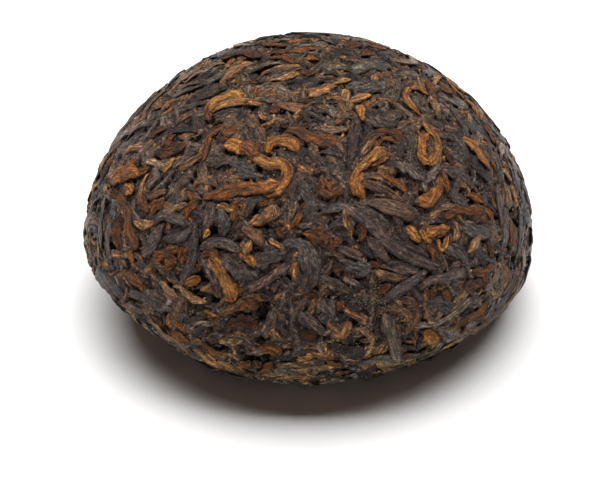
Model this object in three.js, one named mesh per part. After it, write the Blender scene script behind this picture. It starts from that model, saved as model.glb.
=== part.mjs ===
// A tuocha: rolled tea leaves steamed and pressed into a thick-walled bowl, which stands here on its rim
// with the dome up. One solid, whose whole skin is the relief of the leaves: a ridge along every leaf and
// a groove between one leaf and the next. Millimetres, +Z up, the origin on the table under the dome.
import * as THREE from 'three';
import { ConvexHull } from 'three/addons/math/ConvexHull.js';

// Driving dimensions of the pressed shape
const DIAMETER = 83;
const HEIGHT = 48;
const GIRTH_HEIGHT = 12.5; // of the widest girth above the table
const FOOT_RADIUS = 30; // outer edge of the flat ring that it stands on
const HOLLOW_RADIUS = 24; // mouth of the hollow that the bag's knot leaves underneath
const HOLLOW_DEPTH = 20;

// How far each curve runs on straight before it bends, as a share of its reach: 0.55 is an ellipse
const FLANK_HANDLE = 0.4;
const DOME_SIDE_HANDLE = 0.53;
const DOME_TOP_HANDLE = 0.46;

// The bag presses unevenly: waves round the girth that fade at the top, and waves that cut back the rim
const DOME_WAVES = [
  { count: 2, depth: 0.8, turn: 0.92 },
  { count: 3, depth: 0.2, turn: -0.47 },
];
const RIM_WAVES = [
  { count: 1, depth: 2.2, turn: 0.87 },
  { count: 2, depth: 2.0, turn: -1.04 },
  { count: 3, depth: 1.8, turn: 0.13 },
];

// The leaves, laid edge to edge over the whole skin
const LEAF_TRIES = 2000;
const LEAF_LENGTH = [8, 20];
const LEAF_SHORTEST = 4.5; // a shorter gap is left to the grooves
const LEAF_WIDTH = 2.7;
const LEAF_CURL = 0.12; // radians of turn for each millimetre of leaf, at most
const LEAF_STEP = 1.5; // between the points of a ridge
const LEAF_SEED = 33;

// The grooves between them
const GROOVE_TRIES = 16000;
const GROOVE_TO_RIDGE = 1.2; // nearest that a groove point comes to a ridge
const GROOVE_STEP = 1.55; // between groove points
const GROOVE_DEPTH = [0.9, 1.4]; // below the pressed outline
const RIDGE_DEPTH = [0, 0.3]; // a leaf's back lies this far below the outline
const END_DROP = 0.4; // a leaf's ends dive under their neighbours
const RELIEF_FADE = 3; // height over which the relief fades towards the flat foot

const SECTION_STEPS = 240;
const LEAF_COLOUR = 0x3b2a22;
const GOLDEN_ANGLE = Math.PI * (3 - Math.sqrt(5));

// Repeatable random numbers from 0 to 1.
function randomFrom(seed) {
  let state = seed >>> 0;
  return () => {
    state = (state + 0x6d2b79f5) >>> 0;
    let mixed = Math.imul(state ^ (state >>> 15), 1 | state);
    mixed = (mixed + Math.imul(mixed ^ (mixed >>> 7), 61 | mixed)) ^ mixed;
    return ((mixed ^ (mixed >>> 14)) >>> 0) / 4294967296;
  };
}

function between([low, high], share) {
  return low + (high - low) * share;
}

// The section through the axis, from the top of the hollow, over the rim, to the top of the dome.
function sectionPoints() {
  const girth = DIAMETER / 2;
  const reach = girth - FOOT_RADIUS;
  const rise = HEIGHT - GIRTH_HEIGHT;
  const hollowTop = new THREE.Vector2(0, HOLLOW_DEPTH);
  const hollowBend = new THREE.Vector2(HOLLOW_RADIUS / 2, HOLLOW_DEPTH);
  const mouth = new THREE.Vector2(HOLLOW_RADIUS, 0);
  const foot = new THREE.Vector2(FOOT_RADIUS, 0);
  const footBend = new THREE.Vector2(FOOT_RADIUS + FLANK_HANDLE * reach, 0);
  const underGirth = new THREE.Vector2(girth, GIRTH_HEIGHT * (1 - FLANK_HANDLE));
  const widest = new THREE.Vector2(girth, GIRTH_HEIGHT);
  const overGirth = new THREE.Vector2(girth, GIRTH_HEIGHT + DOME_SIDE_HANDLE * rise);
  const shoulder = new THREE.Vector2(DOME_TOP_HANDLE * girth, HEIGHT);
  const top = new THREE.Vector2(0, HEIGHT);
  const section = new THREE.CurvePath();
  section.add(new THREE.QuadraticBezierCurve(hollowTop, hollowBend, mouth));
  section.add(new THREE.LineCurve(mouth, foot));
  section.add(new THREE.CubicBezierCurve(foot, footBend, underGirth, widest));
  section.add(new THREE.CubicBezierCurve(widest, overGirth, shoulder, top));
  return section.getSpacedPoints(SECTION_STEPS);
}

function sumOfWaves(waves, angle) {
  return waves.reduce((sum, { count, depth, turn }) => sum + depth * Math.cos(count * (angle - turn)), 0);
}

// How far the uneven pressing moves a point of the section in or out: the hollow stays round.
function unevenness({ x: radius, y: height }, angle) {
  if (radius <= HOLLOW_RADIUS && height <= HOLLOW_DEPTH) return 0;
  const rise = Math.max(0, height - GIRTH_HEIGHT) / (HEIGHT - GIRTH_HEIGHT);
  const drop = Math.max(0, GIRTH_HEIGHT - height) / GIRTH_HEIGHT;
  const dome = (1 - rise * rise) * sumOfWaves(DOME_WAVES, angle);
  const rim = Math.sin(drop * (Math.PI / 2)) * sumOfWaves(RIM_WAVES, angle);
  const ring = Math.min(1, (radius - HOLLOW_RADIUS) / (FOOT_RADIUS - HOLLOW_RADIUS));
  return height < GIRTH_HEIGHT ? (dome + rim) * ring : dome;
}

const section = sectionPoints();

// For each point of the section: the area of skin from the top of the hollow up to it, and its latitude on
// a unit ball by the map that keeps every angle, on which the step in latitude is the step over the radius.
const areaUpTo = [0];
const latitude = [];
let stretch = 0;
for (let i = 1; i < section.length; i++) {
  const step = section[i].distanceTo(section[i - 1]);
  const radius = (section[i].x + section[i - 1].x) / 2;
  areaUpTo.push(areaUpTo[i - 1] + 2 * Math.PI * radius * step);
  latitude.push(stretch + step / radius / 2);
  stretch += step / radius;
}
const middle = latitude.find((_, i) => areaUpTo[i] > areaUpTo[section.length - 1] / 2);

// The nearest place on the pressed skin to a point, with its outward normal and its place on the ball.
function nearestOnSkin(point) {
  const angle = Math.atan2(point.y, point.x);
  const here = new THREE.Vector2(Math.hypot(point.x, point.y), point.z);
  const moved = section.map((spot) => new THREE.Vector2(spot.x + unevenness(spot, angle), spot.y));
  let best = { gap: Infinity };
  for (let i = 0; i + 1 < moved.length; i++) {
    const along = moved[i + 1].clone().sub(moved[i]);
    const share = THREE.MathUtils.clamp(here.clone().sub(moved[i]).dot(along) / along.lengthSq(), 0, 1);
    const foot = moved[i].clone().addScaledVector(along, share);
    const gap = foot.distanceTo(here);
    if (gap < best.gap) best = { gap, foot, along, i, share };
  }
  const { foot, along, i, share } = best;
  const out = new THREE.Vector3(Math.cos(angle), Math.sin(angle), 0);
  const next = Math.min(i + 1, latitude.length - 1);
  const bearing = THREE.MathUtils.lerp(latitude[i], latitude[next], share) - middle;
  return {
    place: out.clone().multiplyScalar(foot.x).setZ(foot.y),
    normal: out.clone().multiplyScalar(along.y).setZ(-along.x).normalize(),
    onBall: out.clone().multiplyScalar(1 / Math.cosh(bearing)).setZ(Math.tanh(bearing)),
  };
}

// Places spread evenly by area over the whole skin, on a golden-angle spiral.
function evenPlaces(count) {
  const total = areaUpTo[section.length - 1];
  return Array.from({ length: count }, (_, n) => {
    const wanted = ((n + 0.5) / count) * total;
    const i = areaUpTo.findIndex((area) => area >= wanted) - 1;
    const share = (wanted - areaUpTo[i]) / (areaUpTo[i + 1] - areaUpTo[i]);
    const spot = section[i].clone().lerp(section[i + 1], share);
    const angle = n * GOLDEN_ANGLE;
    return nearestOnSkin(new THREE.Vector3(spot.x * Math.cos(angle), spot.x * Math.sin(angle), spot.y));
  });
}

function isClear(spot, others, distance) {
  return others.every((other) => other.place.distanceTo(spot.place) >= distance);
}

// The points along one leaf from its middle, each way until its length is used up or another leaf is met.
function leafRidge(start, heading, length, curl, laid) {
  const level = new THREE.Vector3(-start.place.y, start.place.x, 0).normalize();
  const walk = (sense) => {
    const spots = [];
    const forward = level.clone().applyAxisAngle(start.normal, heading).multiplyScalar(sense);
    let spot = start;
    for (let gone = LEAF_STEP; gone <= length / 2; gone += LEAF_STEP) {
      forward.applyAxisAngle(spot.normal, sense * curl * LEAF_STEP);
      spot = nearestOnSkin(spot.place.clone().addScaledVector(forward, LEAF_STEP));
      if (!isClear(spot, laid, LEAF_WIDTH)) break;
      forward.addScaledVector(spot.normal, -forward.dot(spot.normal)).normalize();
      spots.push(spot);
    }
    return spots;
  };
  return [...walk(-1).reverse(), start, ...walk(1)];
}

// Every leaf's ridge points, each with its depth below the pressed outline.
function layLeaves(random) {
  const laid = [];
  const order = evenPlaces(LEAF_TRIES).map((spot) => ({ spot, turn: random() }));
  order.sort((a, b) => a.turn - b.turn);
  for (const { spot } of order) {
    const heading = random() * Math.PI;
    const length = between(LEAF_LENGTH, random());
    const curl = between([-LEAF_CURL, LEAF_CURL], random());
    const depth = between(RIDGE_DEPTH, random());
    if (!isClear(spot, laid, LEAF_WIDTH)) continue;
    const ridge = leafRidge(spot, heading, length, curl, laid);
    if ((ridge.length - 1) * LEAF_STEP < LEAF_SHORTEST) continue;
    ridge.forEach((point, i) => {
      const atEnd = i === 0 || i === ridge.length - 1;
      laid.push({ ...point, depth: depth + (atEnd ? END_DROP : 0) });
    });
  }
  return laid;
}

// The groove points that fill the skin between the leaves.
function cutGrooves(ridges, random) {
  const grooves = [];
  for (const spot of evenPlaces(GROOVE_TRIES)) {
    const depth = between(GROOVE_DEPTH, random());
    if (!isClear(spot, ridges, GROOVE_TO_RIDGE) || !isClear(spot, grooves, GROOVE_STEP)) continue;
    grooves.push({ ...spot, depth });
  }
  return grooves;
}

// The skin: the hull of the points on the ball says which of them are joined, and each is then put at its
// own place and depth on the pressed shape.
function skinGeometry() {
  const random = randomFrom(LEAF_SEED);
  const ridges = layLeaves(random);
  const spots = [...ridges, ...cutGrooves(ridges, random)];
  const corner = new Map();
  for (const { onBall, place, normal, depth } of spots) {
    const relief = depth * Math.min(1, place.z / RELIEF_FADE);
    const sunk = place.clone().addScaledVector(normal, -relief);
    corner.set(onBall, sunk.setZ(Math.max(0, sunk.z)));
  }
  const corners = [];
  for (const face of new ConvexHull().setFromPoints(spots.map((spot) => spot.onBall)).faces) {
    const [a, b, c] = [face.edge, face.edge.next, face.edge.prev].map((edge) => corner.get(edge.head().point));
    corners.push(a, b, c);
  }
  const geometry = new THREE.BufferGeometry().setFromPoints(corners);
  geometry.computeVertexNormals();
  return geometry;
}

const tuocha = new THREE.Mesh(
  skinGeometry(),
  new THREE.MeshStandardMaterial({ color: LEAF_COLOUR, roughness: 0.62, metalness: 0 }),
);
tuocha.name = 'tuocha';

const part = new THREE.Group();
part.add(tuocha);

export default part;
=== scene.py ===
"""A pu erh tuocha, leaf by leaf: rolled tea leaves laid in layers over a crumbly core and pressed flush.

Laid out as a Blender add-on and run as a script. Lengths in the settings are metres; the layout of the
leaves is worked out in millimetres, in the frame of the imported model, with +Z up and the table at zero.
"""
import functools
import itertools
import math

import bpy
import numpy as np
from bpy.props import FloatProperty, FloatVectorProperty, IntProperty, PointerProperty
from mathutils import Matrix, Vector


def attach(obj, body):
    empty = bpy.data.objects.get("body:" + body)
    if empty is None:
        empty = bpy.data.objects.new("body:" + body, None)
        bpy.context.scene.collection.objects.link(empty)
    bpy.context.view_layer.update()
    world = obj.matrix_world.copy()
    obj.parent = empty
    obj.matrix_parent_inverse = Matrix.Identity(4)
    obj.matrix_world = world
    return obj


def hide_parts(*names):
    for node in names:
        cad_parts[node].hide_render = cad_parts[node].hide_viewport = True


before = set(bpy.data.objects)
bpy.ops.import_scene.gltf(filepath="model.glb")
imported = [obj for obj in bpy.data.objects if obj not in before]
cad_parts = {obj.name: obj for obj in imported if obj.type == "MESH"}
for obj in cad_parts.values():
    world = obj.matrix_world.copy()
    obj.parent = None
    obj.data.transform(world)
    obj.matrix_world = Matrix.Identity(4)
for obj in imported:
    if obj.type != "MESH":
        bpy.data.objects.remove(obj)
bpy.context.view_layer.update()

bl_info = {
    "name": "Pressed tea cake",
    "version": (1, 0, 0),
    "blender": (4, 5, 0),
    "location": "3D View > Sidebar > Tea cake",
    "description": "Lays and presses the leaves of a tuocha over its packed solid",
    "category": "Add Mesh",
}

MM = 0.001
NODE = "tuocha"
BODY = "root"
PHOTO_WIDTH = 600
PHOTO_HEIGHT = 478

# The bag presses unevenly: (waves round the girth, depth in mm, turn in radians)
DOME_WAVES = ((2, 0.8, 0.92), (3, 0.2, -0.47))
RIM_WAVES = ((1, 2.2, 0.87), (2, 2.0, -1.04), (3, 1.8, 0.13))


def linear(hex_colour):
    """An sRGB hex colour as the linear red, green and blue that a shader takes."""
    channels = [int(hex_colour[i:i + 2], 16) / 255 for i in (1, 3, 5)]
    return tuple(c / 12.92 if c <= 0.04045 else ((c + 0.055) / 1.055) ** 2.4 for c in channels)


def length_setting(name, description, default):
    """A setting in metres."""
    return FloatProperty(name=name, description=description, default=default, min=0, unit="LENGTH")


def share_setting(name, description, default):
    """A setting that is a share of something."""
    return FloatProperty(name=name, description=description, default=default, min=0, subtype="FACTOR")


def colour_setting(name, description, default):
    """A colour setting, its default as sRGB hex."""
    return FloatVectorProperty(name=name, description=description, default=linear(default), subtype="COLOR")


class TeaShape(bpy.types.PropertyGroup):
    """The pressed outline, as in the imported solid."""

    diameter: length_setting("Diameter", "Across the widest girth", 0.083)
    height: length_setting("Height", "From the table to the top of the dome", 0.048)
    girth_height: length_setting("Girth height", "Height of the widest girth", 0.0125)
    foot_radius: length_setting("Foot radius", "Outer edge of the flat ring it stands on", 0.030)
    hollow_radius: length_setting("Hollow radius", "Mouth of the hollow underneath", 0.024)
    hollow_depth: length_setting("Hollow depth", "Height of the hollow above the table", 0.020)
    flank_handle: share_setting("Flank handle", "How far the flank runs straight before it bends", 0.40)
    side_handle: share_setting("Dome side handle", "The same, up from the girth", 0.53)
    top_handle: share_setting("Dome top handle", "The same, out from the top", 0.46)


class TeaLeaves(bpy.types.PropertyGroup):
    """How the leaves are laid and pressed."""

    seed: IntProperty(name="Seed", description="Starts the random numbers", default=7)
    core_depth: length_setting("Core depth", "Of the crumbly core below the outline", 0.0015)
    top_depth: length_setting("Top depth", "Of the middle of a top leaf below the outline", 0.00038)
    carpet_depth: length_setting("Carpet depth", "Of the backs of the leaves and bits between them", 0.00036)


class TeaColours(bpy.types.PropertyGroup):
    """The colours of the leaves, from their darkest to their palest."""

    dark_low: colour_setting("Dark leaf, low", "Shadowed side of a fully fermented leaf", "#120b08")
    dark_mid: colour_setting("Dark leaf", "Fully fermented leaf", "#372720")
    dark_high: colour_setting("Dark leaf, high", "Rubbed back of a fully fermented leaf", "#705c50")
    slate_low: colour_setting("Slate leaf, low", "Shadowed side of a greyish leaf", "#17110f")
    slate_mid: colour_setting("Slate leaf", "Broad greyish leaf", "#3c312b")
    slate_high: colour_setting("Slate leaf, high", "Rubbed back of a greyish leaf", "#746a63")
    brown_low: colour_setting("Brown leaf, low", "Shadowed side of a brown leaf", "#25160d")
    brown_mid: colour_setting("Brown leaf", "Half fermented leaf", "#573922")
    brown_high: colour_setting("Brown leaf, high", "Rubbed back of a brown leaf", "#89643c")
    gold_low: colour_setting("Golden bud, low", "Shadowed side of a golden bud", "#351c0b")
    gold_mid: colour_setting("Golden bud", "Golden bud leaf", "#794619")
    gold_high: colour_setting("Golden bud, high", "Downy back of a golden bud", "#a3763d")
    stalk_low: colour_setting("Stalk, low", "Shadowed side of a stalk", "#1e1711")
    stalk_mid: colour_setting("Stalk", "Leaf stalk", "#4d3a2b")
    stalk_high: colour_setting("Stalk, high", "Pale skin of a stalk", "#83705a")
    table: colour_setting("Table", "White card that the cake stands on", "#d8d8d8")
    room: colour_setting("Room", "Warm light from the room all round", "#ffd4bf")


class TeaStage(bpy.types.PropertyGroup):
    """The camera that the photograph was taken with, and soft studio light."""

    camera_distance: length_setting("Camera distance", "From the middle of the foot", 0.380)
    camera_elevation: FloatProperty(
        name="Camera elevation", description="Above the table", default=0.594, subtype="ANGLE"
    )
    camera_roll: FloatProperty(
        name="Camera roll", description="Clockwise lean of the picture", default=0.018, subtype="ANGLE"
    )
    focal_pixels: FloatProperty(name="Focal length", description="In pixels of the photograph", default=2008)
    foot_x: FloatProperty(name="Foot x", description="Pixel of the middle of the foot", default=308.4)
    foot_y: FloatProperty(name="Foot y", description="Pixel of the middle of the foot", default=282.1)
    sky: FloatProperty(name="Sky", description="Strength of the even light all round", default=0.08)
    softbox: FloatProperty(
        name="Softbox", description="Power of the overhead softbox", default=20.0, subtype="POWER"
    )
    card: FloatProperty(
        name="Card", description="Power of the low card in front", default=4.4, subtype="POWER"
    )


def settings():
    """The four groups of settings of the scene."""
    scene = bpy.context.scene
    return scene.tea_shape, scene.tea_leaves, scene.tea_colours, scene.tea_stage


def unit(vectors):
    """The same directions with length one."""
    return vectors / np.maximum(np.linalg.norm(vectors, axis=-1, keepdims=True), 1e-9)


def smoothstep(low, high, value):
    """From 0 at low to 1 at high, level at both ends."""
    share = np.clip((value - low) / (high - low), 0, 1)
    return share * share * (3 - 2 * share)


class PressedSkin:
    """The pressed outline in millimetres: a section turned round the axis, with uneven waves."""

    STEPS = 240
    LIP_ROUNDING = 3  # steps of the section over which the lip of the hollow is rounded
    SLOPE_REACH = 0.1  # mm to either side over which a slope is measured
    TURN_STRAY = 0.05  # radians that an even place usually strays round the axis
    GOLDEN_TURN = 3 - math.sqrt(5)  # half turns from each even place to the next

    def __init__(self, shape):
        girth = shape.diameter / 2 / MM
        self.top = shape.height / MM
        self.girth_height = shape.girth_height / MM
        foot = shape.foot_radius / MM
        mouth = shape.hollow_radius / MM
        depth = shape.hollow_depth / MM
        rise = self.top - self.girth_height
        curves = (
            ((0, depth), (mouth / 2, depth), (mouth, 0)),
            ((mouth, 0), (foot, 0)),
            (
                (foot, 0),
                (foot + shape.flank_handle * (girth - foot), 0),
                (girth, self.girth_height * (1 - shape.flank_handle)),
                (girth, self.girth_height),
            ),
            (
                (girth, self.girth_height),
                (girth, self.girth_height + shape.side_handle * rise),
                (shape.top_handle * girth, self.top),
                (0, self.top),
            ),
        )
        section = self.spaced(np.concatenate([self.bezier(np.array(curve, float)) for curve in curves]))
        width = self.LIP_ROUNDING
        kernel = np.hanning(2 * width + 3)[1:-1]
        padded = np.pad(section, ((width, width), (0, 0)), mode="edge")
        kernel = kernel / kernel.sum()
        smooth = np.stack([np.convolve(padded[:, i], kernel, "valid") for i in (0, 1)], axis=1)
        lip = np.exp(-(np.linalg.norm(section - (mouth, 0), axis=1) / (2 * width)) ** 2)[:, None]
        self.section = section * (1 - lip) + smooth * lip
        radius, height = self.section.T
        inside = (radius <= mouth) & (height <= depth)
        above = np.clip((height - self.girth_height) / rise, 0, 1)
        below = np.clip((self.girth_height - height) / self.girth_height, 0, 1)
        ring = np.where(height < self.girth_height, np.clip((radius - mouth) / (foot - mouth), 0, 1), 1)
        self.dome_part = np.where(inside, 0, (1 - above ** 2) * ring)
        self.rim_part = np.where(inside, 0, np.sin(below * math.pi / 2) * ring)
        steps = np.linalg.norm(np.diff(self.section, axis=0), axis=1)
        self.areas = np.concatenate(([0], np.cumsum(steps * (radius[1:] + radius[:-1]) * math.pi)))
        self.lengths = np.concatenate(([0], np.cumsum(steps)))

    @staticmethod
    def bezier(points, steps=200):
        """Points along a Bezier curve of any order."""
        share = np.linspace(0, 1, steps)[:, None]
        layer = [point[None, :] for point in points]
        while len(layer) > 1:
            layer = [a * (1 - share) + b * share for a, b in zip(layer, layer[1:])]
        return layer[0]

    def spaced(self, line):
        """The same line with evenly spaced points."""
        gone = np.concatenate(([0], np.cumsum(np.linalg.norm(np.diff(line, axis=0), axis=1))))
        wanted = np.linspace(0, gone[-1], self.STEPS + 1)
        return np.stack([np.interp(wanted, gone, line[:, i]) for i in (0, 1)], axis=1)

    @staticmethod
    def waves(angle):
        """How far the uneven pressing moves the dome and the rim in and out at each angle."""
        dome = sum(depth * np.cos(count * (angle - turn)) for count, depth, turn in DOME_WAVES)
        rim = sum(depth * np.cos(count * (angle - turn)) for count, depth, turn in RIM_WAVES)
        return dome, rim

    def at(self, along, angle):
        """Places at lengths along the section and angles round the axis, and the outward normals there."""
        dome, rim = self.waves(angle)
        columns = (self.section[:, 0], self.dome_part, self.rim_part, self.section[:, 1])
        spots = []
        for shift in (-self.SLOPE_REACH, 0, self.SLOPE_REACH):
            radius, dome_part, rim_part, height = (np.interp(along + shift, self.lengths, c) for c in columns)
            spots.append((radius + dome * dome_part + rim * rim_part, height))
        (r0, h0), (radius, height), (r1, h1) = spots
        out = np.stack([np.cos(angle), np.sin(angle), np.zeros_like(angle)], axis=1)
        upright = np.array([0.0, 0.0, 1.0])
        place = out * radius[:, None] + upright * height[:, None]
        return place, unit(out * (h1 - h0)[:, None] - upright * (r1 - r0)[:, None])

    def nearest(self, points):
        """The nearest places on the skin to some points, and the outward normals there."""
        angle = np.arctan2(points[:, 1], points[:, 0])
        radius = np.hypot(points[:, 0], points[:, 1])[:, None]
        height = points[:, 2][:, None]
        dome, rim = self.waves(angle)
        radii = self.section[:, 0] + dome[:, None] * self.dome_part + rim[:, None] * self.rim_part
        heights = self.section[:, 1][None, :]
        step_r = np.diff(radii, axis=1)
        step_h = np.diff(heights, axis=1)
        share = ((radius - radii[:, :-1]) * step_r + (height - heights[:, :-1]) * step_h)
        share = np.clip(share / np.maximum(step_r ** 2 + step_h ** 2, 1e-12), 0, 1)
        foot_r = radii[:, :-1] + share * step_r
        foot_h = heights[:, :-1] + share * step_h
        best = np.argmin((foot_r - radius) ** 2 + (foot_h - height) ** 2, axis=1)
        rows = np.arange(len(points))
        out = np.stack([np.cos(angle), np.sin(angle), np.zeros_like(angle)], axis=1)
        upright = np.array([0.0, 0.0, 1.0])
        place = out * foot_r[rows, best][:, None] + upright * foot_h[rows, best][:, None]
        slope_h = np.broadcast_to(step_h, step_r.shape)[rows, best][:, None]
        normal = out * slope_h - upright * step_r[rows, best][:, None]
        return place, unit(normal)

    def spread(self, count, random):
        """Places spread evenly by area over the whole skin."""
        wanted = (np.arange(count) + random.random(count)) / count * self.areas[-1]
        along = np.interp(wanted, self.areas, np.arange(len(self.areas)))
        radius = np.interp(along, np.arange(len(self.section)), self.section[:, 0])
        height = np.interp(along, np.arange(len(self.section)), self.section[:, 1])
        angle = np.arange(count) * math.pi * self.GOLDEN_TURN + random.normal(0, self.TURN_STRAY, count)
        points = np.stack([radius * np.cos(angle), radius * np.sin(angle), height], axis=1)
        return self.nearest(points)[0]


def camera_axes(stage):
    """The camera's place in metres, and its right, up and forward directions."""
    lift = stage.camera_elevation
    place = Vector((0, -math.cos(lift), math.sin(lift))) * stage.camera_distance
    level_up = Vector((0, math.sin(lift), math.cos(lift)))
    per_pixel = stage.camera_distance / stage.focal_pixels
    aim = level_up * (stage.foot_y - PHOTO_HEIGHT / 2) * per_pixel
    aim -= Vector((1, 0, 0)) * (stage.foot_x - PHOTO_WIDTH / 2) * per_pixel
    forward = (aim - place).normalized()
    level = forward.cross(Vector((0, 0, 1))).normalized()
    upward = level.cross(forward)
    roll = stage.camera_roll
    right = level * math.cos(roll) + upward * math.sin(roll)
    return place, right, right.cross(forward), forward


# How a line of sight is followed to the skin: how many heights of the cake short of the middle of the foot
# it starts, how many steps it takes, and the share of the distance left that each step goes
SIGHT_START = 1.4
SIGHT_STEPS = 80
SIGHT_SHARE = 0.45


def seen_at(skin, stage, pixels):
    """The places on the skin that pixels of the photograph show."""
    place, right, upward, forward = (np.array(v) for v in camera_axes(stage))
    pixels = np.asarray(pixels, float)
    across = (pixels[:, 0] - PHOTO_WIDTH / 2) / stage.focal_pixels
    down = (pixels[:, 1] - PHOTO_HEIGHT / 2) / stage.focal_pixels
    ray = unit(forward + across[:, None] * right - down[:, None] * upward)
    start = place / MM
    gone = np.full(len(pixels), np.linalg.norm(start) - skin.top * SIGHT_START)
    for _ in range(SIGHT_STEPS):
        point = start + ray * gone[:, None]
        gone += SIGHT_SHARE * np.linalg.norm(point - skin.nearest(point)[0], axis=1)
    return skin.nearest(start + ray * gone[:, None])[0]


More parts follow.
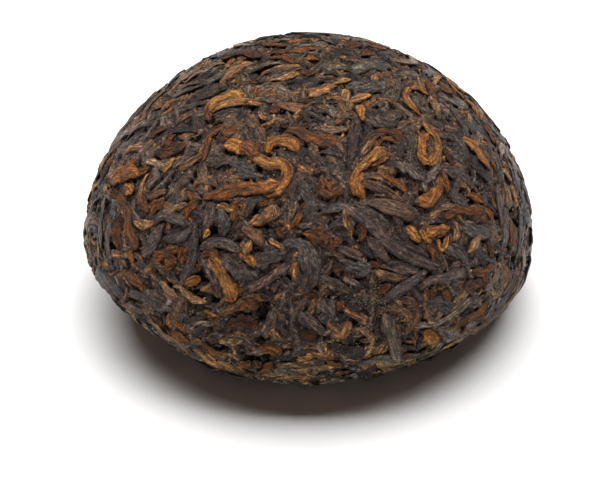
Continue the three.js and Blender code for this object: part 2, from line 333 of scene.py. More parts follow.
# Leaves that stand out in the photograph, by kind: width in mm, tone from 0 to 1, and the pixels that each
# runs through
SEEN_LEAVES = {
    "gold": (
        (1.2, 0.22, ((264, 44), (287, 46))),
        (1.5, 0.32, ((289, 50), (303, 49), (317, 47))),
        (1.1, 0.22, ((271, 53), (288, 51))),
        (1.6, 0.22, ((270, 58), (283, 56), (289, 60), (298, 62))),
        (1.3, 0.50, ((306, 58), (319, 58))),
        (2.2, 0.07, ((344, 46), (352, 45), (360, 43))),
        (1.6, 0.32, ((367, 45), (378, 47), (389, 50))),
        (1.6, 0.22, ((364, 54), (370, 51))),
        (2.2, 0.09, ((222, 59), (243, 52), (259, 57))),
        (2.4, 0.17, ((304, 74), (314, 71))),
        (1.2, 0.32, ((241, 83), (255, 81))),
        (1.6, 0.32, ((254, 87), (255, 97))),
        (3.0, 0.66, ((208, 111), (215, 100), (228, 95), (245, 98))),
        (1.4, 0.27, ((243, 104), (255, 101))),
        (1.5, 0.27, ((208, 113), (210, 120))),
        (1.4, 0.07, ((296, 101), (312, 100))),
        (2.3, 0.17, ((271, 111), (279, 107))),
        (1.6, 0.17, ((150, 137), (157, 131), (166, 128))),
        (2.2, 0.22, ((166, 146), (169, 138), (174, 134))),
        (1.6, 0.02, ((158, 153), (170, 149), (177, 144))),
        (1.8, 0.17, ((160, 156), (174, 150), (186, 143))),
        (1.2, 0.27, ((203, 160), (207, 146), (209, 136), (218, 130))),
        (1.4, 0.27, ((212, 132), (222, 128), (228, 131), (237, 128))),
        (1.5, 0.12, ((216, 138), (228, 139))),
        (3.2, 0.64, ((224, 144), (234, 145), (247, 152))),
        (2.7, 0.32, ((240, 144), (250, 149), (258, 158))),
        (
            2.2,
            0.62,
            ((247, 153), (261, 160), (270, 164), (280, 163), (287, 169), (286, 180), (278, 189), (264, 195)),
        ),
        (2.6, 0.56, ((278, 184), (267, 187), (254, 189))),
        (2.2, 0.32, ((268, 190), (249, 189), (226, 192), (204, 198))),
        (1.3, 0.32, ((266, 201), (260, 205))),
        (2.1, 0.55, ((267, 152), (270, 144), (280, 141), (291, 143), (298, 151))),
        (2.2, 0.25, ((288, 130), (297, 130), (306, 135), (322, 140), (337, 141))),
        (1.4, 0.22, ((283, 121), (286, 127))),
        (1.2, 0.22, ((305, 120), (306, 127))),
        (1.6, 0.60, ((358, 106), (361, 112), (363, 120))),
        (1.6, 0.17, ((367, 145), (374, 136), (384, 131), (394, 133), (401, 140))),
        (1.1, 0.17, ((374, 147), (382, 139), (390, 138), (398, 143))),
        (2.0, 0.60, ((384, 147), (376, 154), (366, 162), (357, 172))),
        (1.5, 0.32, ((390, 154), (379, 158), (368, 164))),
        (2.4, 0.62, ((360, 168), (356, 179), (358, 189), (364, 197))),
        (0.8, 0.50, ((383, 175), (395, 182), (405, 190))),
        (2.0, 0.56, ((421, 115), (411, 105), (406, 95), (411, 88))),
        (1.4, 0.50, ((411, 88), (420, 88), (428, 94))),
        (1.8, 0.17, ((429, 80), (432, 90), (433, 98))),
        (1.6, 0.60, ((424, 121), (430, 130), (437, 137), (439, 147), (437, 156), (430, 162), (424, 160))),
        (1.7, 0.55, ((429, 163), (423, 158), (421, 148), (422, 139), (428, 133))),
        (1.0, 0.17, ((444, 148), (449, 157), (454, 165))),
        (1.7, 0.27, ((441, 88), (446, 90), (452, 92))),
        (1.5, 0.32, ((446, 80), (456, 90), (464, 98))),
        (2.4, 0.60, ((467, 99), (474, 107), (482, 118))),
        (1.6, 0.27, ((484, 125), (490, 134), (495, 142))),
        (2.6, 0.62, ((463, 139), (472, 145), (482, 156), (490, 168))),
        (1.4, 0.27, ((491, 160), (495, 169))),
        (2.0, 0.50, ((420, 204), (431, 198), (438, 190), (442, 178))),
        (1.4, 0.32, ((443, 171), (446, 181), (447, 192))),
        (2.2, 0.27, ((469, 195), (476, 197), (483, 201))),
        (1.5, 0.32, ((445, 217), (452, 213), (461, 211), (469, 212), (478, 208), (487, 211), (493, 217))),
        (2.5, 0.15, ((473, 220), (480, 215), (487, 214))),
        (1.8, 0.58, ((427, 234), (437, 230), (448, 229))),
        (2.6, 0.17, ((428, 246), (434, 252), (435, 260))),
        (1.5, 0.66, ((439, 240), (442, 249), (449, 237))),
        (1.8, 0.62, ((407, 228), (413, 234), (420, 241))),
        (1.3, 0.66, ((421, 231), (426, 237), (432, 242))),
        (1.8, 0.22, ((489, 243), (491, 249), (494, 254))),
        (1.7, 0.27, ((512, 224), (513, 235), (512, 247))),
        (4.2, 0.48, ((111, 179), (124, 174), (140, 174))),
        (1.4, 0.50, ((126, 165), (136, 162))),
        (1.6, 0.22, ((137, 170), (143, 171), (149, 167))),
        (2.2, 0.60, ((124, 186), (132, 190))),
        (1.6, 0.17, ((111, 195), (118, 193))),
        (1.5, 0.17, ((119, 193), (122, 200), (126, 207))),
        (2.0, 0.12, ((121, 214), (117, 226), (117, 240), (119, 250))),
        (1.9, 0.29, ((126, 207), (129, 224), (132, 237), (136, 249))),
        (1.6, 0.50, ((129, 251), (132, 262))),
        (2.0, 0.27, ((138, 190), (142, 200), (147, 211))),
        (2.0, 0.32, ((152, 213), (156, 205), (163, 198))),
        (1.6, 0.12, ((100, 178), (105, 170), (110, 162))),
        (1.1, 0.50, ((188, 192), (194, 202))),
        (2.5, 0.29, ((186, 217), (189, 207), (196, 203))),
        (1.9, 0.32, ((152, 261), (161, 255), (168, 252), (177, 247))),
        (2.0, 0.27, ((165, 263), (176, 259))),
        (2.2, 0.19, ((186, 247), (183, 254), (181, 263))),
        (1.2, 0.22, ((160, 269), (168, 266), (176, 262))),
        (1.4, 0.70, ((204, 238), (208, 230))),
        (1.2, 0.29, ((233, 221), (232, 211), (236, 204), (242, 204), (244, 210), (240, 216))),
        (1.6, 0.02, ((239, 217), (236, 225), (232, 233))),
        (1.7, 0.58, ((240, 253), (248, 258), (255, 265))),
        (1.8, 0.22, ((202, 256), (210, 252), (219, 257))),
        (2.5, 0.55, ((209, 258), (219, 269), (226, 283), (234, 301))),
        (2.3, 0.05, ((192, 273), (200, 267))),
        (1.9, 0.50, ((186, 283), (194, 280), (200, 279))),
        (1.9, 0.29, ((123, 273), (131, 277), (142, 287))),
        (2.4, 0.19, ((239, 309), (248, 304), (258, 306))),
        (3.0, 0.09, ((228, 327), (239, 323), (253, 320))),
        (1.6, -0.01, ((250, 328), (257, 321))),
        (3.0, 0.32, ((171, 333), (180, 338), (191, 345))),
        (1.6, 0.17, ((151, 317), (156, 321), (161, 325))),
        (1.7, 0.48, ((175, 325), (181, 327))),
        (1.7, 0.25, ((203, 344), (211, 350), (222, 354))),
        (1.8, 0.29, ((260, 348), (270, 349), (281, 353))),
        (1.8, 0.27, ((241, 369), (249, 361))),
        (1.8, 0.29, ((258, 372), (266, 370), (271, 362))),
        (1.5, 0.17, ((255, 361), (260, 368))),
        (1.5, 0.27, ((247, 372), (256, 375))),
        (1.2, 0.22, ((222, 362), (231, 367))),
        (1.3, 0.32, ((307, 202), (300, 216), (292, 227))),
        (2.4, 0.17, ((278, 235), (288, 229))),
        (2.6, 0.21, ((322, 178), (328, 193), (338, 184))),
        (2.8, 0.21, ((304, 233), (315, 235), (326, 238))),
        (2.4, 0.12, ((360, 223), (362, 232), (361, 241))),
        (1.5, 0.32, ((330, 250), (335, 243), (342, 239))),
        (2.4, 0.12, ((334, 269), (343, 267))),
        (1.2, 0.09, ((304, 295), (319, 296))),
        (1.8, 0.17, ((371, 263), (380, 267))),
        (1.9, 0.25, ((381, 293), (389, 285))),
        (1.8, 0.19, ((338, 310), (343, 303))),
        (2.0, 0.07, ((302, 332), (308, 335), (316, 330))),
        (2.4, 0.22, ((444, 292), (449, 300))),
        (1.7, 0.17, ((432, 298), (434, 290))),
        (1.7, 0.12, ((465, 288), (473, 285), (482, 283))),
        (1.5, 0.32, ((473, 271), (484, 272), (494, 266))),
        (1.8, 0.27, ((484, 275), (488, 284))),
        (1.5, 0.27, ((457, 326), (470, 318), (482, 311), (488, 302))),
        (1.4, 0.17, ((462, 333), (475, 323), (485, 315))),
        (2.2, 0.48, ((425, 331), (431, 337), (436, 343))),
        (1.9, 0.22, ((404, 354), (414, 356), (426, 350))),
        (1.8, 0.15, ((335, 374), (350, 371))),
        (1.3, 0.27, ((328, 362), (341, 367))),
    ),
    "brown": (
        (1.9, 0.75, ((222, 79), (235, 70), (249, 62))),
        (1.2, 0.70, ((262, 73), (281, 67), (299, 65))),
        (1.8, 0.85, ((272, 79), (285, 77), (297, 73))),
        (2.0, 0.88, ((209, 112), (222, 105), (240, 101), (258, 103))),
        (1.7, 0.60, ((279, 104), (296, 105), (313, 101))),
        (2.5, 0.90, ((312, 94), (322, 89), (333, 85))),
        (2.0, 0.88, ((336, 82), (348, 78))),
        (1.8, 0.80, ((374, 79), (379, 73))),
        (1.8, 0.88, ((352, 100), (361, 97), (370, 94))),
        (1.6, 0.80, ((346, 90), (346, 98), (349, 107))),
        (1.6, 0.60, ((141, 115), (152, 101), (166, 89))),
        (1.6, 0.65, ((168, 92), (180, 81), (195, 72))),
        (1.4, 0.80, ((161, 108), (170, 101), (181, 95))),
        (1.6, 0.60, ((180, 137), (190, 134), (200, 131))),
        (1.6, 0.60, ((180, 168), (192, 160), (203, 153))),
        (1.5, 0.80, ((164, 169), (172, 160))),
        (1.8, 0.60, ((201, 153), (207, 141))),
        (1.9, 0.85, ((364, 153), (369, 145), (374, 140))),
        (1.7, 0.80, ((433, 98), (436, 106), (439, 115))),
        (1.4, 0.75, ((444, 207), (455, 206), (463, 210))),
        (1.4, 0.88, ((456, 238), (458, 230), (457, 224))),
        (1.4, 0.88, ((470, 250), (475, 244), (479, 237))),
        (1.9, 0.72, ((505, 183), (509, 193), (511, 205))),
        (1.6, 0.80, ((514, 187), (517, 205))),
        (1.6, 0.80, ((505, 171), (511, 179))),
        (1.5, 0.75, ((524, 236), (527, 247))),
        (1.6, 0.78, ((121, 153), (131, 147), (141, 146))),
        (1.4, 0.85, ((146, 176), (142, 184), (140, 192))),
        (1.8, 0.40, ((148, 197), (161, 192))),
        (1.8, 0.80, ((104, 186), (108, 192))),
        (1.8, 0.78, ((103, 256), (106, 265))),
        (1.4, 0.85, ((112, 253), (121, 254))),
        (1.7, 0.82, ((135, 222), (145, 225), (154, 222))),
        (2.4, 0.82, ((168, 212), (175, 208), (182, 205))),
        (1.7, 0.80, ((219, 206), (230, 209))),
        (2.7, 0.82, ((249, 223), (261, 218), (272, 212))),
        (1.3, 0.88, ((266, 211), (272, 207), (275, 213))),
        (3.1, 0.35, ((243, 228), (254, 234), (262, 244))),
        (2.0, 0.88, ((245, 251), (250, 243))),
        (2.2, 0.82, ((270, 240), (282, 248))),
        (1.7, 0.70, ((203, 289), (211, 284))),
        (2.4, 0.88, ((183, 290), (190, 297), (202, 301))),
        (2.0, 0.75, ((160, 283), (168, 291), (176, 299))),
        (1.4, 0.78, ((144, 305), (147, 317))),
        (1.7, 0.50, ((221, 313), (233, 309), (243, 301), (257, 297))),
        (1.4, 0.85, ((220, 342), (230, 343), (241, 340))),
        (1.2, 0.60, ((225, 365), (241, 371))),
        (1.6, 0.75, ((262, 376), (285, 374))),
        (1.6, 0.80, ((150, 322), (161, 331), (173, 341))),
        (1.7, 0.75, ((196, 352), (214, 362), (230, 372))),
        (2.7, 0.45, ((366, 201), (383, 205), (399, 210), (417, 214))),
        (2.9, 0.75, ((345, 211), (348, 226))),
        (1.6, 0.62, ((373, 271), (388, 276), (402, 279))),
        (1.6, 0.70, ((345, 309), (355, 315), (367, 320))),
        (2.7, 0.60, ((331, 325), (340, 334), (348, 326))),
        (1.4, 0.80, ((297, 358), (315, 356), (333, 358))),
        (1.6, 0.65, ((298, 372), (315, 369), (331, 368))),
        (1.6, 0.72, ((285, 378), (300, 377), (318, 377))),
        (1.6, 0.40, ((401, 301), (412, 301), (417, 312), (412, 324))),
        (1.8, 0.75, ((439, 352), (450, 345), (464, 338))),
        (1.8, 0.60, ((505, 265), (509, 280), (500, 293), (487, 297))),
        (1.7, 0.50, ((139, 208), (147, 186), (154, 173))),
    ),
    "dark": (
        (1.6, 0.60, ((268, 75), (284, 71), (301, 67))),
        (1.4, 0.72, ((256, 98), (272, 100))),
        (1.9, 0.45, ((216, 114), (230, 110), (245, 109))),
        (2.6, 0.45, ((199, 97), (212, 92), (225, 87))),
        (1.6, 0.50, ((172, 97), (186, 90), (203, 83))),
        (1.4, 0.25, ((165, 132), (182, 129), (199, 130))),
        (1.4, 0.60, ((169, 169), (184, 156), (199, 146))),
        (1.4, 0.50, ((176, 172), (192, 158), (205, 150))),
        (1.4, 0.60, ((120, 146), (130, 140), (142, 132))),
        (1.4, 0.50, ((128, 135), (138, 126), (150, 121))),
        (1.4, 0.55, ((104, 200), (101, 220), (100, 245))),
        (1.4, 0.60, ((110, 222), (107, 238), (108, 255))),
        (1.8, 0.40, ((357, 119), (353, 143), (349, 168))),
        (1.8, 0.55, ((493, 150), (499, 165), (502, 182))),
        (1.8, 0.50, ((498, 185), (500, 205), (503, 225))),
        (1.8, 0.60, ((505, 207), (506, 226), (505, 246))),
        (1.6, 0.50, ((519, 205), (521, 230), (518, 256))),
        (1.6, 0.45, ((517, 270), (511, 290), (499, 309), (488, 325))),
        (2.2, 0.50, ((152, 224), (163, 215), (175, 217), (186, 224))),
        (2.4, 0.60, ((161, 224), (157, 236), (150, 246), (143, 253))),
        (2.2, 0.55, ((192, 219), (193, 240), (190, 262), (181, 283))),
        (2.1, 0.62, ((212, 203), (210, 215), (203, 232))),
        (1.6, 0.50, ((243, 222), (236, 231), (228, 242))),
        (2.2, 0.55, ((202, 247), (212, 243), (224, 244), (237, 250))),
        (2.1, 0.60, ((203, 259), (210, 270), (216, 283), (218, 293))),
        (1.6, 0.45, ((128, 292), (146, 298), (163, 306), (181, 318))),
        (1.6, 0.50, ((122, 305), (140, 313), (158, 329))),
        (1.4, 0.60, ((140, 290), (157, 299), (174, 311))),
        (1.8, 0.68, ((246, 291), (262, 283), (276, 273), (289, 262))),
        (2.1, 0.58, ((344, 204), (360, 216), (376, 230), (392, 244), (412, 257), (440, 269))),
        (1.8, 0.35, ((393, 213), (398, 224), (406, 238))),
        (1.9, 0.50, ((353, 202), (369, 212), (385, 226), (398, 239), (418, 251), (437, 261))),
        (2.2, 0.55, ((369, 239), (379, 249), (387, 260))),
        (1.8, 0.60, ((339, 248), (348, 252), (361, 257))),
        (1.9, 0.62, ((381, 265), (392, 267), (403, 270), (420, 270))),
        (2.3, 0.62, ((384, 302), (400, 290), (413, 281), (428, 272))),
        (1.6, 0.60, ((424, 287), (431, 279), (446, 277), (468, 271))),
        (2.1, 0.55, ((320, 280), (338, 287), (352, 293))),
        (2.1, 0.45, ((282, 279), (290, 289), (298, 298))),
        (2.4, 0.50, ((301, 317), (311, 322), (322, 332))),
        (1.8, 0.35, ((246, 214), (252, 204), (261, 198))),
    ),
    "slate": (
        (2.7, 0.60, ((247, 70), (262, 65), (278, 61))),
        (2.3, 0.60, ((204, 82), (216, 75), (231, 67))),
        (2.6, 0.55, ((178, 109), (188, 104), (200, 101))),
        (2.3, 0.68, ((246, 86), (250, 97))),
        (3.0, 0.60, ((322, 66), (336, 64), (351, 69))),
        (3.0, 0.62, ((355, 70), (370, 66), (389, 64))),
        (3.0, 0.55, ((352, 84), (368, 86), (386, 82))),
        (2.6, 0.50, ((374, 99), (390, 95), (402, 85))),
        (3.0, 0.50, ((324, 108), (338, 112), (353, 116))),
        (2.8, 0.50, ((371, 119), (387, 120), (402, 112))),
        (2.3, 0.55, ((417, 97), (421, 104), (428, 112))),
        (3.0, 0.42, ((408, 124), (412, 140), (411, 157))),
        (2.5, 0.62, ((400, 164), (412, 170), (425, 177))),
        (2.5, 0.45, ((455, 130), (461, 145), (458, 161))),
        (2.7, 0.50, ((446, 170), (460, 173), (471, 183))),
        (2.3, 0.38, ((451, 189), (458, 199), (468, 204))),
        (2.8, 0.52, ((464, 224), (476, 231), (492, 233))),
        (2.3, 0.45, ((448, 248), (460, 251), (468, 263))),
        (3.0, 0.50, ((205, 161), (217, 158), (231, 160))),
        (2.5, 0.45, ((231, 157), (240, 166), (251, 173))),
        (2.7, 0.50, ((217, 211), (225, 222), (222, 236))),
        (3.6, 0.45, ((165, 240), (177, 236), (189, 228))),
        (2.3, 0.50, ((112, 203), (113, 219))),
        (3.6, 0.40, ((257, 262), (268, 258), (283, 254))),
        (3.4, 0.52, ((223, 258), (240, 268), (257, 279))),
        (3.0, 0.52, ((284, 243), (302, 246), (310, 261), (314, 282))),
        (2.5, 0.48, ((303, 182), (311, 205), (305, 222))),
        (3.4, 0.55, ((344, 263), (356, 268), (371, 268))),
        (2.8, 0.50, ((322, 206), (331, 208), (342, 206))),
        (2.7, 0.55, ((322, 302), (328, 312), (325, 322))),
        (2.5, 0.45, ((425, 305), (440, 302), (452, 310))),
    ),
    "stalk": (
        (1.9, 0.60, ((386, 317), (389, 331), (394, 346), (398, 360))),
        (1.0, 0.72, ((418, 326), (437, 324), (448, 318), (458, 311), (468, 302))),
        (1.5, 0.70, ((150, 184), (156, 176), (155, 168))),
        (1.6, 0.75, ((148, 161), (155, 163), (161, 167))),
        (0.8, 0.60, ((181, 87), (195, 82))),
        (1.6, 0.55, ((362, 364), (380, 358), (396, 361))),
    ),
}

# Dusty spots in the photograph: pixel of the middle, spread in pixels, and grains
SEEN_DUST = (
    (374, 300, 10, 240),
    (384, 288, 7, 90),
    (398, 320, 12, 120),
    (352, 348, 12, 120),
    (330, 300, 10, 80),
)

# Each kind of leaf: length and width in mm, thickness as a share of width, folds across it and their depth
# in mm, and how far its grain slants in radians. Those laid on top also have how far the press may narrow or
# widen them, how ragged their edges are, over how many widths their ends taper, how far they lie above the
# others in mm, and how far their ends dive under those in mm
BROKEN_LEAF = {
    "length": (3.0, 7.0), "width": (0.6, 1.3), "thick": (0.34, 0.55), "folds": (1.0, 2.4), "cut": 0.20,
    "slant": 0.6, "spread": (0.6, 1.35), "torn": 0.09, "taper": (0.5, 2.2), "lift": -0.04, "dive": 0.40,
}
KINDS = {
    "dark": {
        "length": (7, 17), "width": (1.0, 2.3), "thick": (0.34, 0.50), "folds": (1.2, 2.6), "cut": 0.24,
        "slant": 0.10, "spread": (0.6, 1.4), "torn": 0.09, "taper": (0.5, 2.2), "lift": 0.0, "dive": 0.55,
    },
    "slate": {
        "length": (6, 13), "width": (2.0, 3.2), "thick": (0.22, 0.30), "folds": (2.4, 4.6), "cut": 0.24,
        "slant": 0.4, "spread": (0.6, 1.3), "torn": 0.10, "taper": (0.5, 1.8), "lift": -0.06, "dive": 0.50,
    },
    "brown": {
        "length": (6, 16), "width": (1.0, 2.2), "thick": (0.32, 0.46), "folds": (1.4, 3.0), "cut": 0.24,
        "slant": 0.12, "spread": (0.6, 1.4), "torn": 0.09, "taper": (0.5, 2.2), "lift": 0.03, "dive": 0.50,
    },
    "gold": {
        "length": (4, 11), "width": (1.2, 2.4), "thick": (0.28, 0.40), "folds": (1.2, 2.4), "cut": 0.18,
        "slant": 0.12, "spread": (0.95, 1.15), "torn": 0.09, "taper": (0.3, 1.1), "lift": 0.18, "dive": 0.12,
    },
    "stalk": {
        "length": (7, 15), "width": (0.7, 1.2), "thick": (0.70, 0.85), "folds": (1.0, 2.0), "cut": 0.08,
        "slant": 0.05, "spread": (0.8, 1.1), "torn": 0.06, "taper": (0.3, 1.0), "lift": 0.04, "dive": 0.25,
    },
    "chip": BROKEN_LEAF,
    "flake": BROKEN_LEAF,
    "under": {
        "length": (6, 15), "width": (1.2, 2.6), "thick": (0.26, 0.42), "folds": (1.2, 3.0), "cut": 0.22,
        "slant": 0.3,
    },
    "bit": {
        "length": (2.0, 6.0), "width": (0.7, 1.6), "thick": (0.35, 0.55), "folds": (0.8, 2.0), "cut": 0.15,
        "slant": 0.6,
    },
}

# What is strewn, in this order: the share of each kind, how many are tried, how far apart they lie as a share
# of their widths, and the shortest length in mm that is still laid
LONG_LEAVES = {
    "kinds": {"dark": 0.46, "slate": 0.18, "brown": 0.22, "gold": 0.10, "stalk": 0.04},
    "tries": 6000, "spacing": 0.85, "shortest": 4.5,
}
SHORT_LEAVES = {"kinds": {"chip": 0.66, "flake": 0.34}, "tries": 4000, "spacing": 0.85, "shortest": 1.8}
STRAPS = {"kinds": {"dark": 0.6, "brown": 0.3, "stalk": 0.1}, "tries": 700, "spacing": 1.0, "shortest": 7.0}

# How strewn leaves bend: share that is hooked, usual bend of a hooked and of another leaf from end to end in
# radians, usual sway one way and back in radians, and the tightest bend as a share of one over the width
HOOKED = 0.25
HOOK_BEND = 2.4
PLAIN_BEND = 1.0
SWAY = 1.3
TIGHTEST_BEND = 0.7

TONES = (0.05, 0.95)  # darkest and palest tone of a strewn leaf
SEEDS = (0, 100)  # range of the numbers that tell leaves apart in the materials
BRIGHT_KINDS = ("gold", "stalk")  # where the photograph looks, these lie only where it shows them
GRAZING = 0.2  # cosine of the angle from which a leaf no longer shows in the photograph
RUN_ON = {"gold": 0.2, "others": 0.9}  # mm that the seen leaves run on under their neighbours
SEEN_LIFT = 0.12  # mm that the seen leaves lie above the others
SEEN_SPREAD = (0.9, 1.2)  # how far the press may narrow or widen them
STRAP_LIFT = 0.16  # mm that the long leaves laid last lie above the others
STATIONS = 25  # points along a leaf's line while it is laid
MIDDLE = STATIONS // 2


def walk(skin, middle, heading, length, turn, sway):
    """Lines on the skin from their middles outwards, bending by turn and, one way then the other, by sway."""
    place, normal = skin.nearest(middle)
    level = np.stack([-place[:, 1], place[:, 0], np.zeros(len(place))], axis=1)
    level = unit(level + np.array([1e-6, 0, 0]))
    ahead = level * np.cos(heading)[:, None] + np.cross(normal, level) * np.sin(heading)[:, None]
    lines = np.empty((len(middle), STATIONS, 3))
    normals = np.empty_like(lines)
    lines[:, MIDDLE] = place
    normals[:, MIDDLE] = normal
    step = length / (STATIONS - 1)
    for sense in (-1, 1):
        spot, up, way = place, normal, ahead * sense
        for k in range(1, MIDDLE + 1):
            bend = (turn * sense + sway * k / MIDDLE) * step
            way = way * np.cos(bend)[:, None] + np.cross(up, way) * np.sin(bend)[:, None]
            spot, up = skin.nearest(spot + way * step[:, None])
            way = unit(way - up * np.sum(way * up, axis=1, keepdims=True))
            lines[:, MIDDLE + sense * k] = spot
            normals[:, MIDDLE + sense * k] = up
    return lines, normals


def through(points, count, steps=16):
    """A smooth line of evenly spaced points through a few given ones."""
    points = np.asarray(points, float)
    before = 2 * points[0] - points[1]
    after = 2 * points[-1] - points[-2]
    knots = np.vstack([before, points, after])
    share = np.linspace(0, 1, steps, endpoint=False)[:, None]
    pieces = []
    for a, b, c, d in zip(knots, knots[1:], knots[2:], knots[3:]):
        pieces.append(
            b + 0.5 * share * (c - a + share * (2 * a - 5 * b + 4 * c - d + share * (3 * (b - c) + d - a)))
        )
    line = np.vstack([*pieces, points[-1:]])
    gone = np.concatenate(([0], np.cumsum(np.linalg.norm(np.diff(line, axis=0), axis=1))))
    wanted = np.linspace(0, gone[-1], count)
    return np.stack([np.interp(wanted, gone, line[:, i]) for i in range(points.shape[1])], axis=1)


class Layer:
    """Leaves of one layer, none of which lies over the middle of another."""

    TUCK = 2  # stations at each end that run on under the neighbours
    ROUND_ABOUT = 10  # mm past a leaf's own reach in which others may block it
    BESIDE = 2  # mm past its reach in which others may stop it from spreading
    SPREAD_STEPS = 14
    SOFTEN = (0.25, 0.5, 0.25)  # weights that even out the edges along a leaf
    SLIM = 0.55  # share of its width that a laid leaf keeps however short it is
    FILL = 0.45  # share of its width that it gains with length
    FULL_LENGTH = 6  # mm from which it has its full width

    def __init__(self):
        self.spots = np.empty((0, 3))
        self.widths = np.empty(0)
        self.owners = np.empty(0, int)
        self.leaves = []

    def take(self, leaf):
        """Adds a leaf as it is."""
        every_other = leaf["line"][::2]
        self.spots = np.vstack([self.spots, every_other])
        self.widths = np.concatenate([self.widths, np.full(len(every_other), leaf["width"])])
        self.owners = np.concatenate([self.owners, np.full(len(every_other), len(self.leaves))])
        self.leaves.append(leaf)

    def clear_run(self, line, width, spacing):
        """The first and last station of the run round the middle that is clear of the leaves laid so far."""
        reach = np.linalg.norm(line[-1] - line[0]) / 2 + self.ROUND_ABOUT
        near = np.linalg.norm(self.spots - line[MIDDLE], axis=1) < reach
        if not near.any():
            return 0, STATIONS - 1
        gaps = np.linalg.norm(line[:, None, :] - self.spots[near][None, :, :], axis=2)
        free = (gaps > spacing * (width + self.widths[near]) / 2).all(axis=1)
        if not free[MIDDLE]:
            return None
        blocked = np.flatnonzero(~free)
        first = blocked[blocked < MIDDLE].max(initial=-1) + 1
        last = blocked[blocked > MIDDLE].min(initial=STATIONS) - 1
        return first, last

    def lay(self, strewn, spacing, shortest):
        """Lays the part of each strewn leaf that finds room."""
        for leaf in strewn:
            run = self.clear_run(leaf["line"], leaf["width"], spacing)
            if run is None:
                continue
            first, last = run
            length = leaf["length"] * (last - first) / (STATIONS - 1)
            if length < shortest:
                continue
            kept = slice(max(0, first - self.TUCK), last + 1 + self.TUCK)
            width = leaf["width"] * min(1, self.SLIM + self.FILL * length / self.FULL_LENGTH)
            line = leaf["line"][kept]
            length = leaf["length"] * (len(line) - 1) / (STATIONS - 1)
            form = {"line": line, "normals": leaf["normals"][kept], "width": width, "length": length}
            self.take({**leaf, **form})

    def strew(self, skin, stage, random, batch):
        """Strews a batch of leaves and lays what finds room."""
        strewn = scattered(skin, random, batch["kinds"], batch["tries"])
        self.lay(out_of_sight(stage, strewn), batch["spacing"], batch["shortest"])

    def spread(self):
        """Spreads each leaf sideways to halfway between it and its neighbours, as the press does."""
        for number, leaf in enumerate(self.leaves):
            line = leaf["line"][::2]
            side = unit(np.cross(leaf["normals"][::2], np.gradient(line, axis=0)))
            half = leaf["width"] / 2
            narrowest, widest = leaf.get("spread", KINDS[leaf["kind"]]["spread"])
            reach = np.linspace(narrowest, widest, self.SPREAD_STEPS) * half
            around = leaf["length"] / 2 + reach[-1] + self.BESIDE
            near = np.linalg.norm(self.spots - line[len(line) // 2], axis=1) < around
            near &= self.owners != number
            edges = []
            for sense in (-1, 1):
                spots = line[:, None] + sense * side[:, None] * reach[:, None]
                gaps = np.linalg.norm(spots[:, :, None] - self.spots[near], axis=-1) - self.widths[near] / 2
                blocked = gaps.min(axis=2, initial=self.ROUND_ABOUT) < reach - half
                first = np.where(blocked.any(axis=1), np.argmax(blocked, axis=1), len(reach) - 1)
                edges.append(np.convolve(np.pad(reach[first], 1, mode="edge"), self.SOFTEN, "valid"))
            leaf["edges"] = np.stack(edges, axis=1)


def scattered(skin, random, kinds, tries):
    """Leaves of several kinds strewn evenly over the skin, in any direction, whatever they lie over."""
    middles = skin.spread(tries, random)
    names = random.choice(list(kinds), tries, p=np.array(list(kinds.values())) / sum(kinds.values()))
    lengths = np.array([random.uniform(*KINDS[name]["length"]) for name in names])
    widths = np.array([random.uniform(*KINDS[name]["width"]) for name in names])
    heading = random.uniform(0, 2 * math.pi, tries)
    hooked = random.random(tries) < HOOKED
    turn = np.where(hooked, random.normal(0, HOOK_BEND, tries), random.normal(0, PLAIN_BEND, tries)) / lengths
    sway = random.normal(0, SWAY, tries) / lengths
    tightest = TIGHTEST_BEND / widths
    turn = np.clip(turn, -tightest, tightest)
    lines, normals = walk(skin, middles, heading, lengths, turn, np.clip(sway, -tightest, tightest))
    return [
        {
            "kind": names[i],
            "line": lines[i],
            "normals": normals[i],
            "width": widths[i],
            "length": lengths[i],
            "tone": random.uniform(*TONES),
            "lift": 0.0,
        }
        for i in random.permutation(tries)
    ]


def out_of_sight(stage, strewn):
    """Strewn leaves without the bright ones that the photograph would show, as those are laid one by one."""
    lens = np.array(camera_axes(stage)[0]) / MM
    return [
        leaf
        for leaf in strewn
        if leaf["kind"] not in BRIGHT_KINDS
        or leaf["normals"][MIDDLE] @ unit(lens - leaf["line"][MIDDLE]) < GRAZING
    ]


@functools.cache
def laid_leaves():
    """Every leaf on the carpet: those seen in the photograph, others in the room left, and straps on top."""
    shape, leaves, _, stage = settings()
    skin = PressedSkin(shape)
    random = np.random.default_rng(leaves.seed)
    layer = Layer()
    for kind, seen in SEEN_LEAVES.items():
        for width, tone, pixels in seen:
            line = seen_at(skin, stage, through(pixels, STATIONS))
            run_on = RUN_ON.get(kind, RUN_ON["others"])
            start = line[0] + run_on * unit(line[0] - line[1])
            stop = line[-1] + run_on * unit(line[-1] - line[-2])
            line, normals = skin.nearest(through([start, *line, stop], STATIONS))
            length = np.linalg.norm(np.diff(line, axis=0), axis=1).sum()
            form = {"line": line, "normals": normals, "width": width, "length": length}
            layer.take({**form, "kind": kind, "tone": tone, "lift": SEEN_LIFT, "spread": SEEN_SPREAD})
    seen_count = len(layer.leaves)
    layer.strew(skin, stage, random, LONG_LEAVES)
    layer.strew(skin, stage, random, SHORT_LEAVES)
    layer.spread()
    straps = Layer()
    for leaf in layer.leaves[:seen_count]:
        straps.take(leaf)
    straps.strew(skin, stage, random, STRAPS)
    on_top = straps.leaves[seen_count:]
    for leaf in on_top:
        leaf["lift"] = STRAP_LIFT
        leaf["edges"] = np.full((2, 2), leaf["width"] / 2)
    return layer.leaves + on_top


